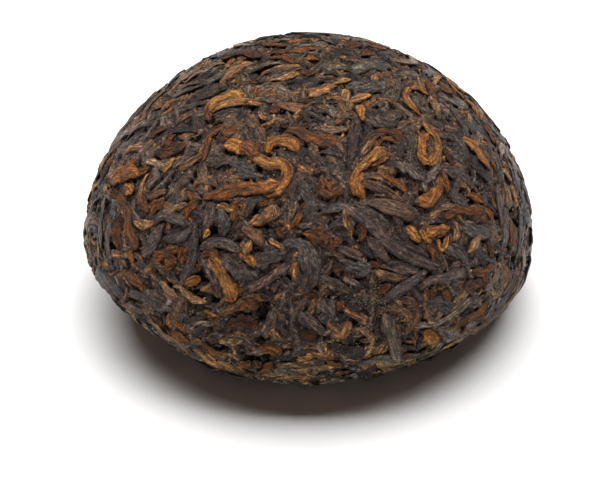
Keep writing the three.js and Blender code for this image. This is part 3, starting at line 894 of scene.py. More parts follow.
def slanted(along, across, seed, slant):
    """Places on a leaf's own grain, which runs at a slant to the leaf; the seed tells leaves apart."""
    turned = (along * np.cos(slant) + across * np.sin(slant), across * np.cos(slant) - along * np.sin(slant))
    return np.stack([*turned, np.broadcast_to(seed, along.shape)], axis=-1)


LOOSE_HEIGHTS = (6, 22)  # mm above the table between which leaves lie ever less loosely


def looseness(height, extra):
    """How many times as unevenly leaves lie as on the dome, as the bag presses least towards the foot."""
    return 1 + extra * (1 - smoothstep(*LOOSE_HEIGHTS, height))


class Carpet:
    """A fine mesh sunk below the skin, with bits of leaf pressed into it as relief."""

    OUTER_STEP = 0.30  # mm between neighbouring corners on the foot, the flank and the dome
    INNER_STEP = 0.45  # mm between neighbouring corners in the hollow and on its lip
    DOME_START = 1.7  # times the height of the girth, where the flank's piece ends and the dome's starts
    FEWEST = 8  # corners round the smallest ring
    CELL = 3.0  # mm, side of the cells that corners are looked up by
    CORE_STRAY = 0.08  # mm, roughness of the core
    CORE_TONE = 0.1
    LOWEST = 0.1  # mm above the table
    SHORT = 6  # mm, length below which every third point of a leaf's line is enough
    BLUNT = (0.3, 0.7)  # power of the taper at a leaf's ends
    END_WIDTHS = 1.3  # widths over which the ends taper
    END_THICKNESS = 0.4  # share of the thickness left at the ends
    FULL_THICKNESS = 0.6  # share that comes on top between them
    RAGGED = 0.2  # share of the width by which the edges wave
    RAGGED_RATES = (1.5, 4)  # radians of that wave to the millimetre
    DRIFT = 0.25  # share of a fold by which the folds wander
    DRIFT_RATES = (2, 6)  # radians of that along the leaf
    STARTS = (0, 6)  # radians, where a wave starts
    FOLD_SHARPNESS = 3  # power that narrows the grooves
    EDGE_HOLD = 4  # power that keeps the grooves off the edges
    BACK_FLATNESS = 3.2  # power that keeps the back flat up to the edges
    BACK_ROUNDING = 0.55  # power that rounds it there
    BOW = 0.15  # mm that the middle stands above the ends
    BOW_DROP = 0.1  # mm that the whole leaf sinks for it
    LEAN = 0.18  # mm to the millimetre that a leaf usually leans sideways
    PITCH = 0.05  # mm to the millimetre that it usually leans lengthwise
    OTHER_SIDE = 2  # mm off a leaf's face from which a corner belongs to another side of the cake
    PRESSED = -0.25  # mm, height above which the press flattens what lies between the leaves
    SQUEEZED = 0.3  # share of the height above that which is left
    GROOVE_SHADE = 0.9  # share of the shade that a groove takes away
    SEAM_SPAN = 0.6  # width on the sheet from which a face crosses its seam
    SEAM_SIDE = 0.4  # place on the sheet before which such a corner belongs past its far edge
    SHEET_WIDTH = 1.05  # width of the sheet with room for the faces that cross the seam

    def __init__(self, skin, depth, random):
        heights = skin.section[:, 1].copy()
        heights[:skin.STEPS // 4] = np.inf
        low = int(np.argmin(heights))
        foot = skin.lengths[low]
        girth = np.interp(skin.girth_height * self.DOME_START, skin.section[low:, 1], skin.lengths[low:])
        bands = (
            (0, foot, self.INNER_STEP),
            (foot, girth, self.OUTER_STEP),
            (girth, skin.lengths[-1], self.OUTER_STEP),
        )
        along, steps, self.cuts = [], [], []
        for start, stop, step in bands:
            rows = round((stop - start) / (step * math.sqrt(3) / 2))
            along.append(np.linspace(start, stop, rows, endpoint=False)[0 if start else 1:])
            steps.append(np.full(len(along[-1]), step))
            self.cuts.append(sum(map(len, along)))
        along = np.concatenate(along)
        radius = np.interp(along, skin.lengths, skin.section[:, 0])
        around = np.round(2 * math.pi * radius / np.concatenate(steps))
        self.sizes = np.maximum(self.FEWEST, around).astype(int)
        self.firsts = np.cumsum(self.sizes) - self.sizes
        ring = np.repeat(np.arange(len(self.sizes)), self.sizes)
        number = np.arange(len(ring)) - self.firsts[ring]
        self.turn = (number + 0.5 * (ring % 2)) / self.sizes[ring]
        self.share = along[ring] / skin.lengths[-1]
        self.place, self.normal = skin.at(along[ring], self.turn * 2 * math.pi)
        count = len(ring)
        self.rise = -depth + random.normal(0, self.CORE_STRAY, count)
        self.tone = np.full(count, self.CORE_TONE)
        # Painted shade: where the core shows between the bits it is darkened fully, as the holes lie in
        # shadow
        self.fold_shade = np.zeros(count)
        self.grain = np.concatenate([self.place[:, :2], np.zeros((count, 1))], axis=1)
        cells = {}
        for i, cell in enumerate(map(tuple, np.floor(self.place / self.CELL).astype(int).tolist())):
            cells.setdefault(cell, []).append(i)
        self.cells = {cell: np.array(numbers) for cell, numbers in cells.items()}

    def near(self, line, reach):
        """The corners in the cells round a line."""
        low = np.floor((line.min(axis=0) - reach) / self.CELL).astype(int)
        high = np.floor((line.max(axis=0) + reach) / self.CELL).astype(int)
        spans = [range(a, b + 1) for a, b in zip(low.tolist(), high.tolist())]
        found = [self.cells[cell] for cell in itertools.product(*spans) if cell in self.cells]
        return np.concatenate(found) if found else np.empty(0, int)

    def press(self, leaf, level, tone, random):
        """Presses a leaf in: it shows where it lies higher than what was pressed in before."""
        kind = KINDS[leaf["kind"]]
        every = 3 if leaf["length"] < self.SHORT else 2
        line = leaf["line"][::every]
        near = self.near(line, leaf["width"])
        if not len(near):
            return
        ahead = unit(np.gradient(line, axis=0))
        side = np.cross(leaf["normals"][::every], ahead)
        away = self.place[near][:, None, :] - line[None]
        closest = np.argmin((away ** 2).sum(axis=2), axis=1)
        gap = away[np.arange(len(near)), closest]
        gone = leaf["length"] * closest / (len(line) - 1) + (gap * ahead[closest]).sum(axis=1)
        across = (gap * side[closest]).sum(axis=1)
        over = np.abs((gap * self.normal[near]).sum(axis=1))
        share = gone / leaf["length"]
        blunt = random.uniform(*self.BLUNT)
        to_end = np.minimum(share, 1 - share) * leaf["length"]
        ends = np.clip(to_end / (self.END_WIDTHS * leaf["width"]), 0, 1) ** blunt
        wave = gone * random.uniform(*self.RAGGED_RATES) + random.uniform(*self.STARTS)
        half = leaf["width"] / 2 * ends * (1 + self.RAGGED * np.sin(wave))
        place = across / np.maximum(half, 1e-3)
        inside = (np.abs(place) < 1) & (share > 0) & (share < 1) & (over < self.OTHER_SIDE)
        near, place, share, gone, across, ends = (v[inside] for v in (near, place, share, gone, across, ends))
        thick = leaf["width"] * random.uniform(*kind["thick"])
        folds = random.uniform(*kind["folds"])
        start = random.uniform(0, 1)
        wave = share * random.uniform(*self.DRIFT_RATES) + random.uniform(*self.STARTS)
        drift = start + self.DRIFT * np.sin(wave)
        turns = (place * 0.5 + 0.5) * folds + drift
        groove = (0.5 + 0.5 * np.cos(2 * math.pi * turns)) ** self.FOLD_SHARPNESS
        groove *= 1 - np.abs(place) ** self.EDGE_HOLD
        bow = self.BOW * np.sin(share * math.pi) - self.BOW_DROP
        body = (1 - np.abs(place) ** self.BACK_FLATNESS) ** self.BACK_ROUNDING
        sink = thick * (body * (self.END_THICKNESS + self.FULL_THICKNESS * ends) - 1)
        rise = level + bow + sink - kind["cut"] * groove
        lean = random.normal(0, self.LEAN) * across
        pitch = random.normal(0, self.PITCH) * (gone - leaf["length"] / 2)
        rise += lean + pitch
        rise = np.where(rise > self.PRESSED, self.PRESSED + (rise - self.PRESSED) * self.SQUEEZED, rise)
        higher = rise > self.rise[near]
        taken = near[higher]
        self.rise[taken] = rise[higher]
        self.tone[taken] = tone
        # Painted shade: each bit darkened in its grooves and towards its edges, where shadow falls
        self.fold_shade[taken] = (body * (1 - self.GROOVE_SHADE * groove))[higher]
        seed = random.uniform(*SEEDS)
        slant = random.normal(0, kind["slant"])
        self.grain[taken] = slanted(gone, across, seed, slant)[higher]

    def strip(self, k):
        """Triangles between one ring and the next, whose sizes may differ."""
        n, m = self.sizes[k], self.sizes[k + 1]
        lower = (np.arange(n) + 0.5 + 0.5 * (k % 2)) / n
        upper = (np.arange(m) + 0.5 + 0.5 * ((k + 1) % 2)) / m
        a, b = np.arange(n), np.arange(m)
        first, second = self.firsts[k], self.firsts[k + 1]
        over_a = second + np.searchsorted(upper, lower) % m
        under_b = first + np.searchsorted(lower, upper) % n
        return np.concatenate(
            [
                np.stack([first + a, first + (a + 1) % n, over_a], axis=1),
                np.stack([under_b, second + (b + 1) % m, second + b], axis=1),
            ]
        )

    def fan(self, k, pole, outward):
        """Triangles between a ring and the pole that it goes round."""
        around = np.arange(self.sizes[k])
        edge = np.stack([around, (around + 1) % self.sizes[k]], axis=1) + self.firsts[k]
        return np.column_stack([edge if outward else edge[:, ::-1], np.full(len(edge), pole)])

    def pieces(self):
        """Corners, faces, loop UVs and values for the material: of the hollow, the flank and the dome."""
        corners = self.place + self.normal * self.rise[:, None]
        corners[:, 2] = np.maximum(corners[:, 2], self.LOWEST)
        poles = [corners[:self.sizes[0]].mean(axis=0), corners[self.firsts[-1]:].mean(axis=0)]
        corners = np.vstack([corners, poles])
        total = len(self.rise)
        spots = np.stack([np.append(self.turn, [0.5, 0.5]), np.append(self.share, [0, 1])], axis=1)
        values = {
            "leaf_tone": np.append(self.tone, [self.CORE_TONE] * 2),
            "leaf_painted_shade": np.append(self.fold_shade, [0.5, 0.5]),
            "leaf_grain": np.vstack([self.grain, np.zeros((2, 3))]),
        }
        made = []
        for start, stop in zip([0, *self.cuts], self.cuts):
            strips = [self.strip(k) for k in range(start, min(stop, len(self.sizes) - 1))]
            if start == 0:
                strips.append(self.fan(0, total, False))
            if stop == len(self.sizes):
                strips.append(self.fan(len(self.sizes) - 1, total + 1, True))
            used, faces = np.unique(np.concatenate(strips), return_inverse=True)
            faces = faces.reshape(-1, 3)
            uvs = spots[used][faces]
            u, v = uvs[:, :, 0], uvs[:, :, 1]
            seam = (np.ptp(u, axis=1) > self.SEAM_SPAN)[:, None] & (u < self.SEAM_SIDE)
            uvs = np.stack([np.where(seam, u + 1, u) / self.SHEET_WIDTH, (v - v.min()) / np.ptp(v)], axis=-1)
            kept = {label: value[used] for label, value in values.items()}
            made.append((corners[used], faces, uvs.reshape(-1, 2), kept))
        return made


def resampled(values, count):
    """Rows of values spaced anew along their first axis."""
    old = np.linspace(0, 1, len(values))
    new = np.linspace(0, 1, count)
    return np.stack([np.interp(new, old, values[:, i]) for i in range(values.shape[1])], axis=1)


def wavy(random, leaves, stations, waves, size, turns=0.7):
    """A smooth random line along each leaf: the longest wave has so many turns, and each other has more."""
    share = np.linspace(0, 1, stations)
    total = np.zeros((leaves, stations))
    for wave in range(1, waves + 1):
        phase = random.uniform(0, 2 * math.pi, (leaves, 1))
        height = random.normal(0, size / math.sqrt(wave), (leaves, 1))
        total += height * np.sin(2 * math.pi * wave * turns * share + phase)
    return total


def crumpled(random, shape, size, own=0.6, shared=0.4):
    """Random values, each of which takes a share from its neighbours along the second axis."""
    raw = random.normal(0, size, shape)
    return raw * own + np.roll(raw, 1, axis=1) * shared + np.roll(raw, -1, axis=1) * shared


# The section of a leaf: powers that keep its back flat up to the edges and round it there, and the width and
# depth of its belly as shares of half the width and half the thickness
BACK_FLATNESS = 8
BACK_ROUNDING = 0.6
BELLY_WIDTH = 0.72
BELLY_DEPTH = 0.75

# How a leaf is pressed
BLUNT_ENDS = (0.25, 0.75)  # power of the taper at each end
NARROWEST_END = 0.08  # share of the width left at the ends
END_THICKNESS = 0.35  # share of the thickness left there
FULL_THICKNESS = 0.65  # share that comes on top between them
DIVE_SHARE = 0.16  # share of the length over which each end dives under the neighbours
LOOSE_LEAVES = 1.1  # how much more unevenly the leaves lie at the foot
LEVEL_WAVE = 0.08  # mm that a leaf usually waves up and down
LEVEL_STRAY = 0.13  # mm that one usually lies above or below another
TILT = 0.14  # mm to the millimetre that a leaf usually leans sideways, and also waves
TILT_ALIKE = 0.6  # share of the tilt that is the same at any height
TILT_LOOSE = 0.4  # share that grows where the leaves lie loose
DRIFT = 0.25  # share of a fold by which the folds wander
FOLD_SHARPNESS = 1.6  # power that narrows the grooves
EDGE_HOLD = 5  # power that keeps grooves off the edges, and keeps the painted shade of the rims close to them
CUT_USUAL = 0.75  # share of the folds' depth that is usual
CUT_WAVE = 0.35  # share by which it waves
CUT_ENDS = 1.2  # how soon the folds reach their depth behind the ends
PRESS_HEIGHTS = (-0.12, 0.10)  # mm above the outline from which the press flattens a leaf
PRESSED_SHARE = 0.5  # share of the height above that which is left
CRUMPLE = 0.045  # mm that the drying back crumples
GROUND = (0.0, 0.25)  # mm above the table below which no corner of a leaf lies
RIM_SHADE = 0.95  # share of the shade that the rims take away
BELLY_SHADE = 0.05  # shade beneath a leaf


def leaf_section(over, beneath):
    """Places across a leaf and heights, both from -1 to 1: points over its back, then beneath it."""
    even = np.linspace(-1, 1, over)
    back = np.sign(even) * (1 - (1 - np.abs(even)) ** 2)
    back_height = (1 - np.abs(back) ** BACK_FLATNESS) ** BACK_ROUNDING
    belly = np.linspace(BELLY_WIDTH, -BELLY_WIDTH, beneath)
    across = np.concatenate([back, belly])
    height = np.concatenate([back_height, np.full(beneath, -BELLY_DEPTH)])
    return across, height


def leaf_mesh_data(leaves, depth, stations, over, beneath, random):
    """The joined mesh of some leaves in mm: corners, faces, loop UVs and values for the material."""
    count = len(leaves)
    line = np.stack([resampled(leaf["line"], stations) for leaf in leaves])
    normal = unit(np.stack([resampled(leaf["normals"], stations) for leaf in leaves]))
    ahead = unit(np.gradient(line, axis=1))
    side = unit(np.cross(normal, ahead))
    share = np.linspace(0, 1, stations)
    length = np.array([leaf["length"] for leaf in leaves])
    width = np.array([leaf["width"] for leaf in leaves])
    kind = [KINDS[leaf["kind"]] for leaf in leaves]
    thick = width * np.array([random.uniform(*k["thick"]) for k in kind])
    # Outline: ends taper and edges are torn
    blunt = random.uniform(*BLUNT_ENDS, (2, count, 1))
    slender = np.array([random.uniform(*k["taper"], 2) for k in kind]).T[:, :, None] * width[:, None]
    near_start = np.clip(share[None, :] * length[:, None] / slender[0], 0, 1) ** blunt[0]
    near_end = np.clip((1 - share)[None, :] * length[:, None] / slender[1], 0, 1) ** blunt[1]
    taper = np.maximum(near_start * near_end, NARROWEST_END)
    edges = np.stack([resampled(leaf["edges"], stations) for leaf in leaves]) * taper[:, :, None]
    torn = np.array([k["torn"] for k in kind])[:, None]
    ragged = []
    for edge in (edges[:, :, 0], edges[:, :, 1]):
        waves = wavy(random, count, stations, 4, 1.0)
        ragged.append(edge * (1 + torn * (waves + crumpled(random, (count, stations), 1.0))))
    # Level: the leaf lies in the skin, tilts and waves, and its ends dive
    half_thick = thick[:, None] / 2 * (END_THICKNESS + FULL_THICKNESS * taper)
    dive = (1 - smoothstep(0, DIVE_SHARE, share)) + smoothstep(1 - DIVE_SHARE, 1, share)
    loose = looseness(line[:, :, 2], LOOSE_LEAVES)
    lift = np.array([leaf["lift"] + k["lift"] for leaf, k in zip(leaves, kind)])[:, None]
    sunk = np.array([k["dive"] for k in kind])[:, None]
    level = lift - depth - sunk * dive + wavy(random, count, stations, 3, LEVEL_WAVE) * loose
    level += random.normal(0, LEVEL_STRAY, (count, 1)) * loose
    tilt = random.normal(0, TILT, (count, 1)) + wavy(random, count, stations, 3, TILT)
    tilt *= TILT_ALIKE + TILT_LOOSE * loose
    # Section: folds run along the back, and the press flattens what stands proud
    across, up = leaf_section(over, beneath)
    ring = over + beneath
    offset = np.where(across > 0, ragged[1][:, :, None], ragged[0][:, :, None]) * across
    folds = np.array([random.uniform(*k["folds"]) for k in kind])
    drift = wavy(random, count, stations, 3, DRIFT) + random.uniform(0, 1, (count, 1))
    place = (across * 0.5 + 0.5) * folds[:, None, None] + drift[:, :, None]
    groove = (1 - np.abs(np.sin(math.pi * place))) ** FOLD_SHARPNESS
    groove *= (1 - np.abs(across) ** EDGE_HOLD) * (up > 0)
    cut = np.array([k["cut"] for k in kind])[:, None]
    cut = cut * (CUT_USUAL + wavy(random, count, stations, 4, CUT_WAVE))
    behind_ends = np.minimum(1, taper * CUT_ENDS)
    rise = up * half_thick[:, :, None] - cut[:, :, None] * groove * behind_ends[:, :, None]
    rise += level[:, :, None] + tilt[:, :, None] * offset
    press = random.uniform(*PRESS_HEIGHTS, (count, 1, 1)) * loose[:, :, None]
    rise = np.where(rise > press, press + (rise - press) * PRESSED_SHARE, rise)
    rise += crumpled(random, (count, stations, ring), CRUMPLE) * (up > 0) * taper[:, :, None]
    corner = line[:, :, None, :] + side[:, :, None, :] * offset[..., None]
    corner = corner + normal[:, :, None, :] * rise[..., None]
    tip = np.stack([corner[:, 0].mean(axis=1), corner[:, -1].mean(axis=1)], axis=1)
    ground = random.uniform(*GROUND, (count, 1))
    corner[..., 2] = np.maximum(corner[..., 2], ground[:, :, None])
    tip[..., 2] = np.maximum(tip[..., 2], ground)
    corners = np.concatenate([corner.reshape(count, -1, 3), tip], axis=1)
    # Values for the material
    seeds = random.uniform(*SEEDS, count)
    along = share[None, :, None] * length[:, None, None] + np.zeros((count, stations, ring))
    slant = random.normal(0, [k["slant"] for k in kind])[:, None, None]
    grain = slanted(along, offset, seeds[:, None, None], slant)
    tips = np.zeros((count, 2, 3))
    tips[:, 1, 0] = length
    tips[:, :, 2] = seeds[:, None]
    grain = np.concatenate([grain.reshape(count, -1, 3), tips], axis=1)
    # Painted shade: the grooves and rims darkened and the underside near black, where shadow falls
    shade = np.where(up > 0, 1 - RIM_SHADE * np.abs(across) ** EDGE_HOLD, BELLY_SHADE)
    fold_shade = np.concatenate([((1 - groove) * shade).reshape(count, -1), np.full((count, 2), 0.5)], axis=1)
    tone = np.broadcast_to(np.array([leaf["tone"] for leaf in leaves])[:, None], fold_shade.shape)
    faces, uvs = leaf_faces(count, stations, ring)
    values = {"leaf_tone": tone.ravel(), "leaf_painted_shade": fold_shade.ravel(), "leaf_grain": grain.reshape(-1, 3)}
    return corners.reshape(-1, 3), faces, uvs, values


def leaf_faces(count, stations, ring, margin=0.06, seam_span=0.6, seam_side=0.3):
    """Triangles of a row of leaves, and their corners' places on one shared sheet, a strip for each leaf."""
    step = stations * ring + 2
    row, turn = np.meshgrid(np.arange(stations - 1), np.arange(ring), indexing="ij")
    a = row * ring + turn
    b = row * ring + (turn + 1) % ring
    c = a + ring
    d = b + ring
    body = np.stack([a, c, b, b, c, d], axis=-1).reshape(-1, 3)
    first, last = stations * ring, stations * ring + 1
    around = np.arange(ring)
    start = np.stack([around, (around + 1) % ring, np.full(ring, first)], axis=-1)
    end_row = (stations - 1) * ring
    end = np.stack([end_row + (around + 1) % ring, end_row + around, np.full(ring, last)], axis=-1)
    one = np.concatenate([body, start, end])
    faces = (one[None] + np.arange(count)[:, None, None] * step).reshape(-1, 3)
    u = np.repeat((np.arange(stations) + 0.5) / stations, ring)
    v = np.tile(np.arange(ring) / ring, stations)
    spot = np.stack([np.concatenate([u, [0.0, 1.0]]), np.concatenate([v, [0.5, 0.5]])], axis=1)
    strip = spot[one]
    wrapped = (np.ptp(strip[:, :, 1], axis=1) > seam_span)[:, None] & (strip[:, :, 1] < seam_side)
    strip[:, :, 1] = np.where(wrapped, strip[:, :, 1] + 1, strip[:, :, 1]) * ring / (ring + 1)
    columns = max(1, round(math.sqrt(count / 2)))
    rows = math.ceil(count / columns)
    inside = margin + strip * (1 - 2 * margin)
    cell = np.stack([np.arange(count) % columns, np.arange(count) // columns], axis=1)
    uvs = (inside[None] + cell[:, None, None, :]) / np.array([columns, rows])
    return faces, uvs.reshape(-1, 2)


def mesh_piece(name, corners, faces, uvs, values, material):
    """A smooth mesh object from arrays in mm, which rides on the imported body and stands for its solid."""
    mesh = bpy.data.meshes.new(name)
    mesh.vertices.add(len(corners))
    mesh.vertices.foreach_set("co", (corners * MM).astype(np.float32).ravel())
    mesh.loops.add(faces.size)
    mesh.loops.foreach_set("vertex_index", faces.astype(np.int32).ravel())
    mesh.polygons.add(len(faces))
    mesh.polygons.foreach_set("loop_start", np.arange(0, faces.size, 3, dtype=np.int32))
    mesh.update(calc_edges=True)
    sheet = mesh.uv_layers.new(name="OFBake")
    sheet.data.foreach_set("uv", uvs.astype(np.float32).ravel())
    for label, value in values.items():
        kind, field = ("FLOAT_VECTOR", "vector") if value.ndim == 2 else ("FLOAT", "value")
        store = mesh.attributes.new(label, kind, "POINT")
        store.data.foreach_set(field, value.astype(np.float32).ravel())
    mesh.shade_smooth()
    if mesh.validate():
        raise RuntimeError(f"{name}: the mesh has faulty faces")
    mesh.materials.append(material)
    piece = bpy.data.objects.new(name, mesh)
    bpy.context.scene.collection.objects.link(piece)
    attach(piece, BODY)
    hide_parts(NODE)
    return piece


def add_node(tree, kind, inputs=None, **looks):
    """A shader node with its own settings, its inputs given as values or as the sockets that feed them."""
    node = tree.nodes.new(kind)
    for name, value in looks.items():
        setattr(node, name, value)
    for name, value in (inputs or {}).items():
        if isinstance(value, bpy.types.NodeSocket):
            tree.links.new(value, node.inputs[name])
        else:
            node.inputs[name].default_value = value
    return node


def new_material(name):
    """An empty material with its shader and output."""
    material = bpy.data.materials.new(name)
    material.use_nodes = True
    tree = material.node_tree
    tree.nodes.clear()
    shader = add_node(tree, "ShaderNodeBsdfPrincipled")
    add_node(tree, "ShaderNodeOutputMaterial", {"Surface": shader.outputs["BSDF"]})
    return material, tree, shader


def set_stops(ramp, stops):
    """Gives a colour ramp its stops, each a place and a linear colour."""
    elements = ramp.color_ramp.elements
    while len(elements) < len(stops):
        elements.new(1.0)
    for element, (place, colour) in zip(elements, stops):
        element.position = place
        element.color = (*colour, 1)


# Real sizes of the patterns on a leaf, in mm
VEIN_SPACING = 0.35  # the finest veins are closer, and are drawn as coarse as they need to show
CRUMPLE_SIZE = 0.6
BLOTCH_SIZE = 2.2  # of a patch that fermented more or less than the rest
FACETS_PER_MM = (0.6, 1.4)  # along and across the grain, so each is about 1.7 mm by 0.7 mm
BUMP_HEIGHT = 1.0

LEAF_IOR = 1.5  # of dry plant fibre and its waxy skin

# How a leaf may lean in colour: to blue grey, not at all, to red brown or to olive
LEAF_CASTS = (
    (0.0, (0.90, 0.97, 1.04)),
    (0.35, (1, 1, 1)),
    (0.7, (1.18, 0.97, 0.86)),
    (1.0, (1.12, 1.06, 0.80)),
)

# Tints by the share of the height: painted light and a painted reflection of the white table make the foot
# paler and greyer, and the top is browner
PAINTED_FOOT_LIGHT_AND_TOP_TINT = (
    (0.0, (1.38, 1.76, 2.02)),
    (0.3, (1.08, 1.20, 1.28)),
    (0.6, (1.02, 1.02, 1.06)),
    (1.0, (0.96, 0.92, 0.70)),
)


def leaf_material(name, stops, rough, streak, gloss=0.3, crumple=1.0, run=1.1, stray=1.0):
    """Rolled leaf: veins and creases run lengthwise; painted shade darkens its grooves, rims and underside,
    painted light makes its backs paler, and towards the foot it is painted paler and greyer.

    The stops are its colours by tone, streak is how far the tone strays within a leaf, crumple how strongly
    the leaf crumpled as it dried and how strongly its veins and facets are painted with light and shade, run
    how far its veins run on in mm, and stray how far leaves differ in hue.
    """
    material, tree, shader = new_material(name)
    tone, fold_shade, grain = (
        add_node(tree, "ShaderNodeAttribute", attribute_name=label)
        for label in ("leaf_tone", "leaf_painted_shade", "leaf_grain")
    )
    on_grain = grain.outputs["Vector"]
    place = add_node(tree, "ShaderNodeTexCoord").outputs["Object"]
    stretched = add_node(
        tree,
        "ShaderNodeVectorMath",
        {0: on_grain, 1: (1 / run, 1 / VEIN_SPACING, 1.0)},
        operation="MULTIPLY",
    )
    veins = add_node(
        tree,
        "ShaderNodeTexNoise",
        {"Vector": stretched.outputs[0], "Scale": 1.0, "Detail": 4.0, "Roughness": 0.65},
    )
    crumples = add_node(
        tree,
        "ShaderNodeTexNoise",
        {
            "Vector": place,
            "Scale": 1 / (CRUMPLE_SIZE * MM),
            "Detail": 3.0,
            "Roughness": 0.6,
            "Distortion": 0.8,
        },
    )
    blotches = add_node(
        tree, "ShaderNodeTexNoise", {"Vector": place, "Scale": 1 / (BLOTCH_SIZE * MM), "Detail": 3.0}
    )
    # The tone strays along the veins and from patch to patch
    toned = tone.outputs["Fac"]
    for pattern in (veins, blotches):
        shift = add_node(
            tree,
            "ShaderNodeMath",
            {0: pattern.outputs["Fac"], 1: streak, 2: -streak / 2},
            operation="MULTIPLY_ADD",
        )
        toned = add_node(tree, "ShaderNodeMath", {0: toned, 1: shift.outputs[0]}, operation="ADD").outputs[0]
    ramp = add_node(tree, "ShaderNodeValToRGB", {"Fac": toned})
    set_stops(ramp, stops)
    # Facets along the grain, where the drying leaf crumpled, with painted shade in the creases between them
    flattened = add_node(
        tree, "ShaderNodeVectorMath", {0: on_grain, 1: (*FACETS_PER_MM, 1.0)}, operation="MULTIPLY"
    )
    wobble = add_node(
        tree, "ShaderNodeTexNoise", {"Vector": flattened.outputs[0], "Scale": 1.3, "Detail": 2.0}
    )
    wandering = add_node(
        tree,
        "ShaderNodeVectorMath",
        {0: wobble.outputs["Color"], 1: (0.6, 0.6, 0.0), 2: flattened.outputs[0]},
        operation="MULTIPLY_ADD",
    )
    facets, rims = (
        add_node(
            tree, "ShaderNodeTexVoronoi", {"Vector": wandering.outputs[0], "Scale": 1.0}, feature=feature
        )
        for feature in ("F1", "DISTANCE_TO_EDGE")
    )
    facet = add_node(tree, "ShaderNodeSeparateColor", {"Color": facets.outputs["Color"]})
    # What darkens the colour or makes it paler, mostly painted shade and painted light: a pattern, its low
    # and high values, and the factors for them
    shades = (
        # Painted shade in the grooves, at the rims and beneath the leaf, and painted light on the backs
        (fold_shade.outputs["Fac"], (0.0, 0.85), (0.12, 1.1)),
        # Veins: painted shade in the low veins and painted light on the raised ones, which the bump sinks and
        # raises
        (veins.outputs["Fac"], (0.36, 0.64), (0.7 - 0.25 * crumple, 1.25 + 0.3 * crumple)),
        # Painted shade in the creases between the facets
        (rims.outputs["Distance"], (0.0, 0.10), (1 - 0.45 * crumple, 1.0)),
        # Painted light and shade: each facet at random paler or darker, standing in for how it leans to the
        # light
        (facet.outputs["Red"], (0.0, 1.0), (1 - 0.35 * crumple, 1 + 0.4 * crumple)),
        # Painted light and shade on the crumples: paler where the bump raises them, darker in their hollows
        (crumples.outputs["Fac"], (0.38, 0.62), (0.6, 1.45)),
    )
    colour = ramp.outputs["Color"]
    for value, (low, high), (dark, pale) in shades:
        factor = add_node(
            tree,
            "ShaderNodeMapRange",
            {"Value": value, "From Min": low, "From Max": high, "To Min": dark, "To Max": pale},
        )
        shaded = add_node(
            tree, "ShaderNodeVectorMath", {0: colour, "Scale": factor.outputs["Result"]}, operation="SCALE"
        )
        colour = shaded.outputs[0]
    # What tints it: the leaf's own lean, picked by its seed, and the height at which it lies, with painted
    # light and a painted reflection of the white table at the foot
    seed = add_node(tree, "ShaderNodeSeparateXYZ", {0: on_grain})
    chance = add_node(tree, "ShaderNodeTexWhiteNoise", {"W": seed.outputs["Z"]}, noise_dimensions="1D")
    above = add_node(tree, "ShaderNodeSeparateXYZ", {0: place})
    top = settings()[0].height
    level = add_node(tree, "ShaderNodeMapRange", {"Value": above.outputs["Z"], "From Max": top})
    casts = [(spot, [1 + (channel - 1) * stray for channel in lean]) for spot, lean in LEAF_CASTS]
    for value, tints in ((chance.outputs["Value"], casts), (level.outputs["Result"], PAINTED_FOOT_LIGHT_AND_TOP_TINT)):
        tint = add_node(tree, "ShaderNodeValToRGB", {"Fac": value})
        set_stops(tint, tints)
        tinted = add_node(
            tree, "ShaderNodeVectorMath", {0: colour, 1: tint.outputs["Color"]}, operation="MULTIPLY"
        )
        colour = tinted.outputs[0]
    tree.links.new(colour, shader.inputs["Base Color"])
    matt = add_node(
        tree,
        "ShaderNodeMapRange",
        {
            "Value": blotches.outputs["Fac"],
            "From Min": 0.3,
            "From Max": 0.7,
            "To Min": rough - 0.1,
            "To Max": rough + 0.12,
        },
    )
    tree.links.new(matt.outputs["Result"], shader.inputs["Roughness"])
    # The bump: veins, crumples and, where the leaf crumpled, facets that stand proud in their middles
    height = veins.outputs["Fac"]
    for value, strength in ((crumples.outputs["Fac"], 0.6), (facets.outputs["Distance"], -0.6 * crumple)):
        raised = add_node(
            tree, "ShaderNodeMath", {0: value, 1: strength, 2: height}, operation="MULTIPLY_ADD"
        )
        height = raised.outputs[0]
    bump = add_node(
        tree, "ShaderNodeBump", {"Strength": 1.0, "Distance": BUMP_HEIGHT * MM, "Height": height}
    )
    tree.links.new(bump.outputs["Normal"], shader.inputs["Normal"])
    shader.inputs["IOR"].default_value = LEAF_IOR
    shader.inputs["Specular IOR Level"].default_value = gloss
    return material


def family_stops(family, tones=(0.08, 0.5, 0.95)):
    """The low, middle and high colour of a family in the settings, each at its tone."""
    colours = settings()[2]
    return [(tone, getattr(colours, f"{family}_{step}")) for tone, step in zip(tones, ("low", "mid", "high"))]


def leaf_piece(name, kind, material, seed, stations, over, beneath):
    """One piece with every leaf of a kind, with so many points along each, over its back and beneath it."""
    leaves = settings()[1]
    random = np.random.default_rng([leaves.seed, seed])
    of_kind = [leaf for leaf in laid_leaves() if leaf["kind"] == kind]
    data = leaf_mesh_data(of_kind, leaves.top_depth / MM, stations, over, beneath, random)
    return mesh_piece(name, *data, material)


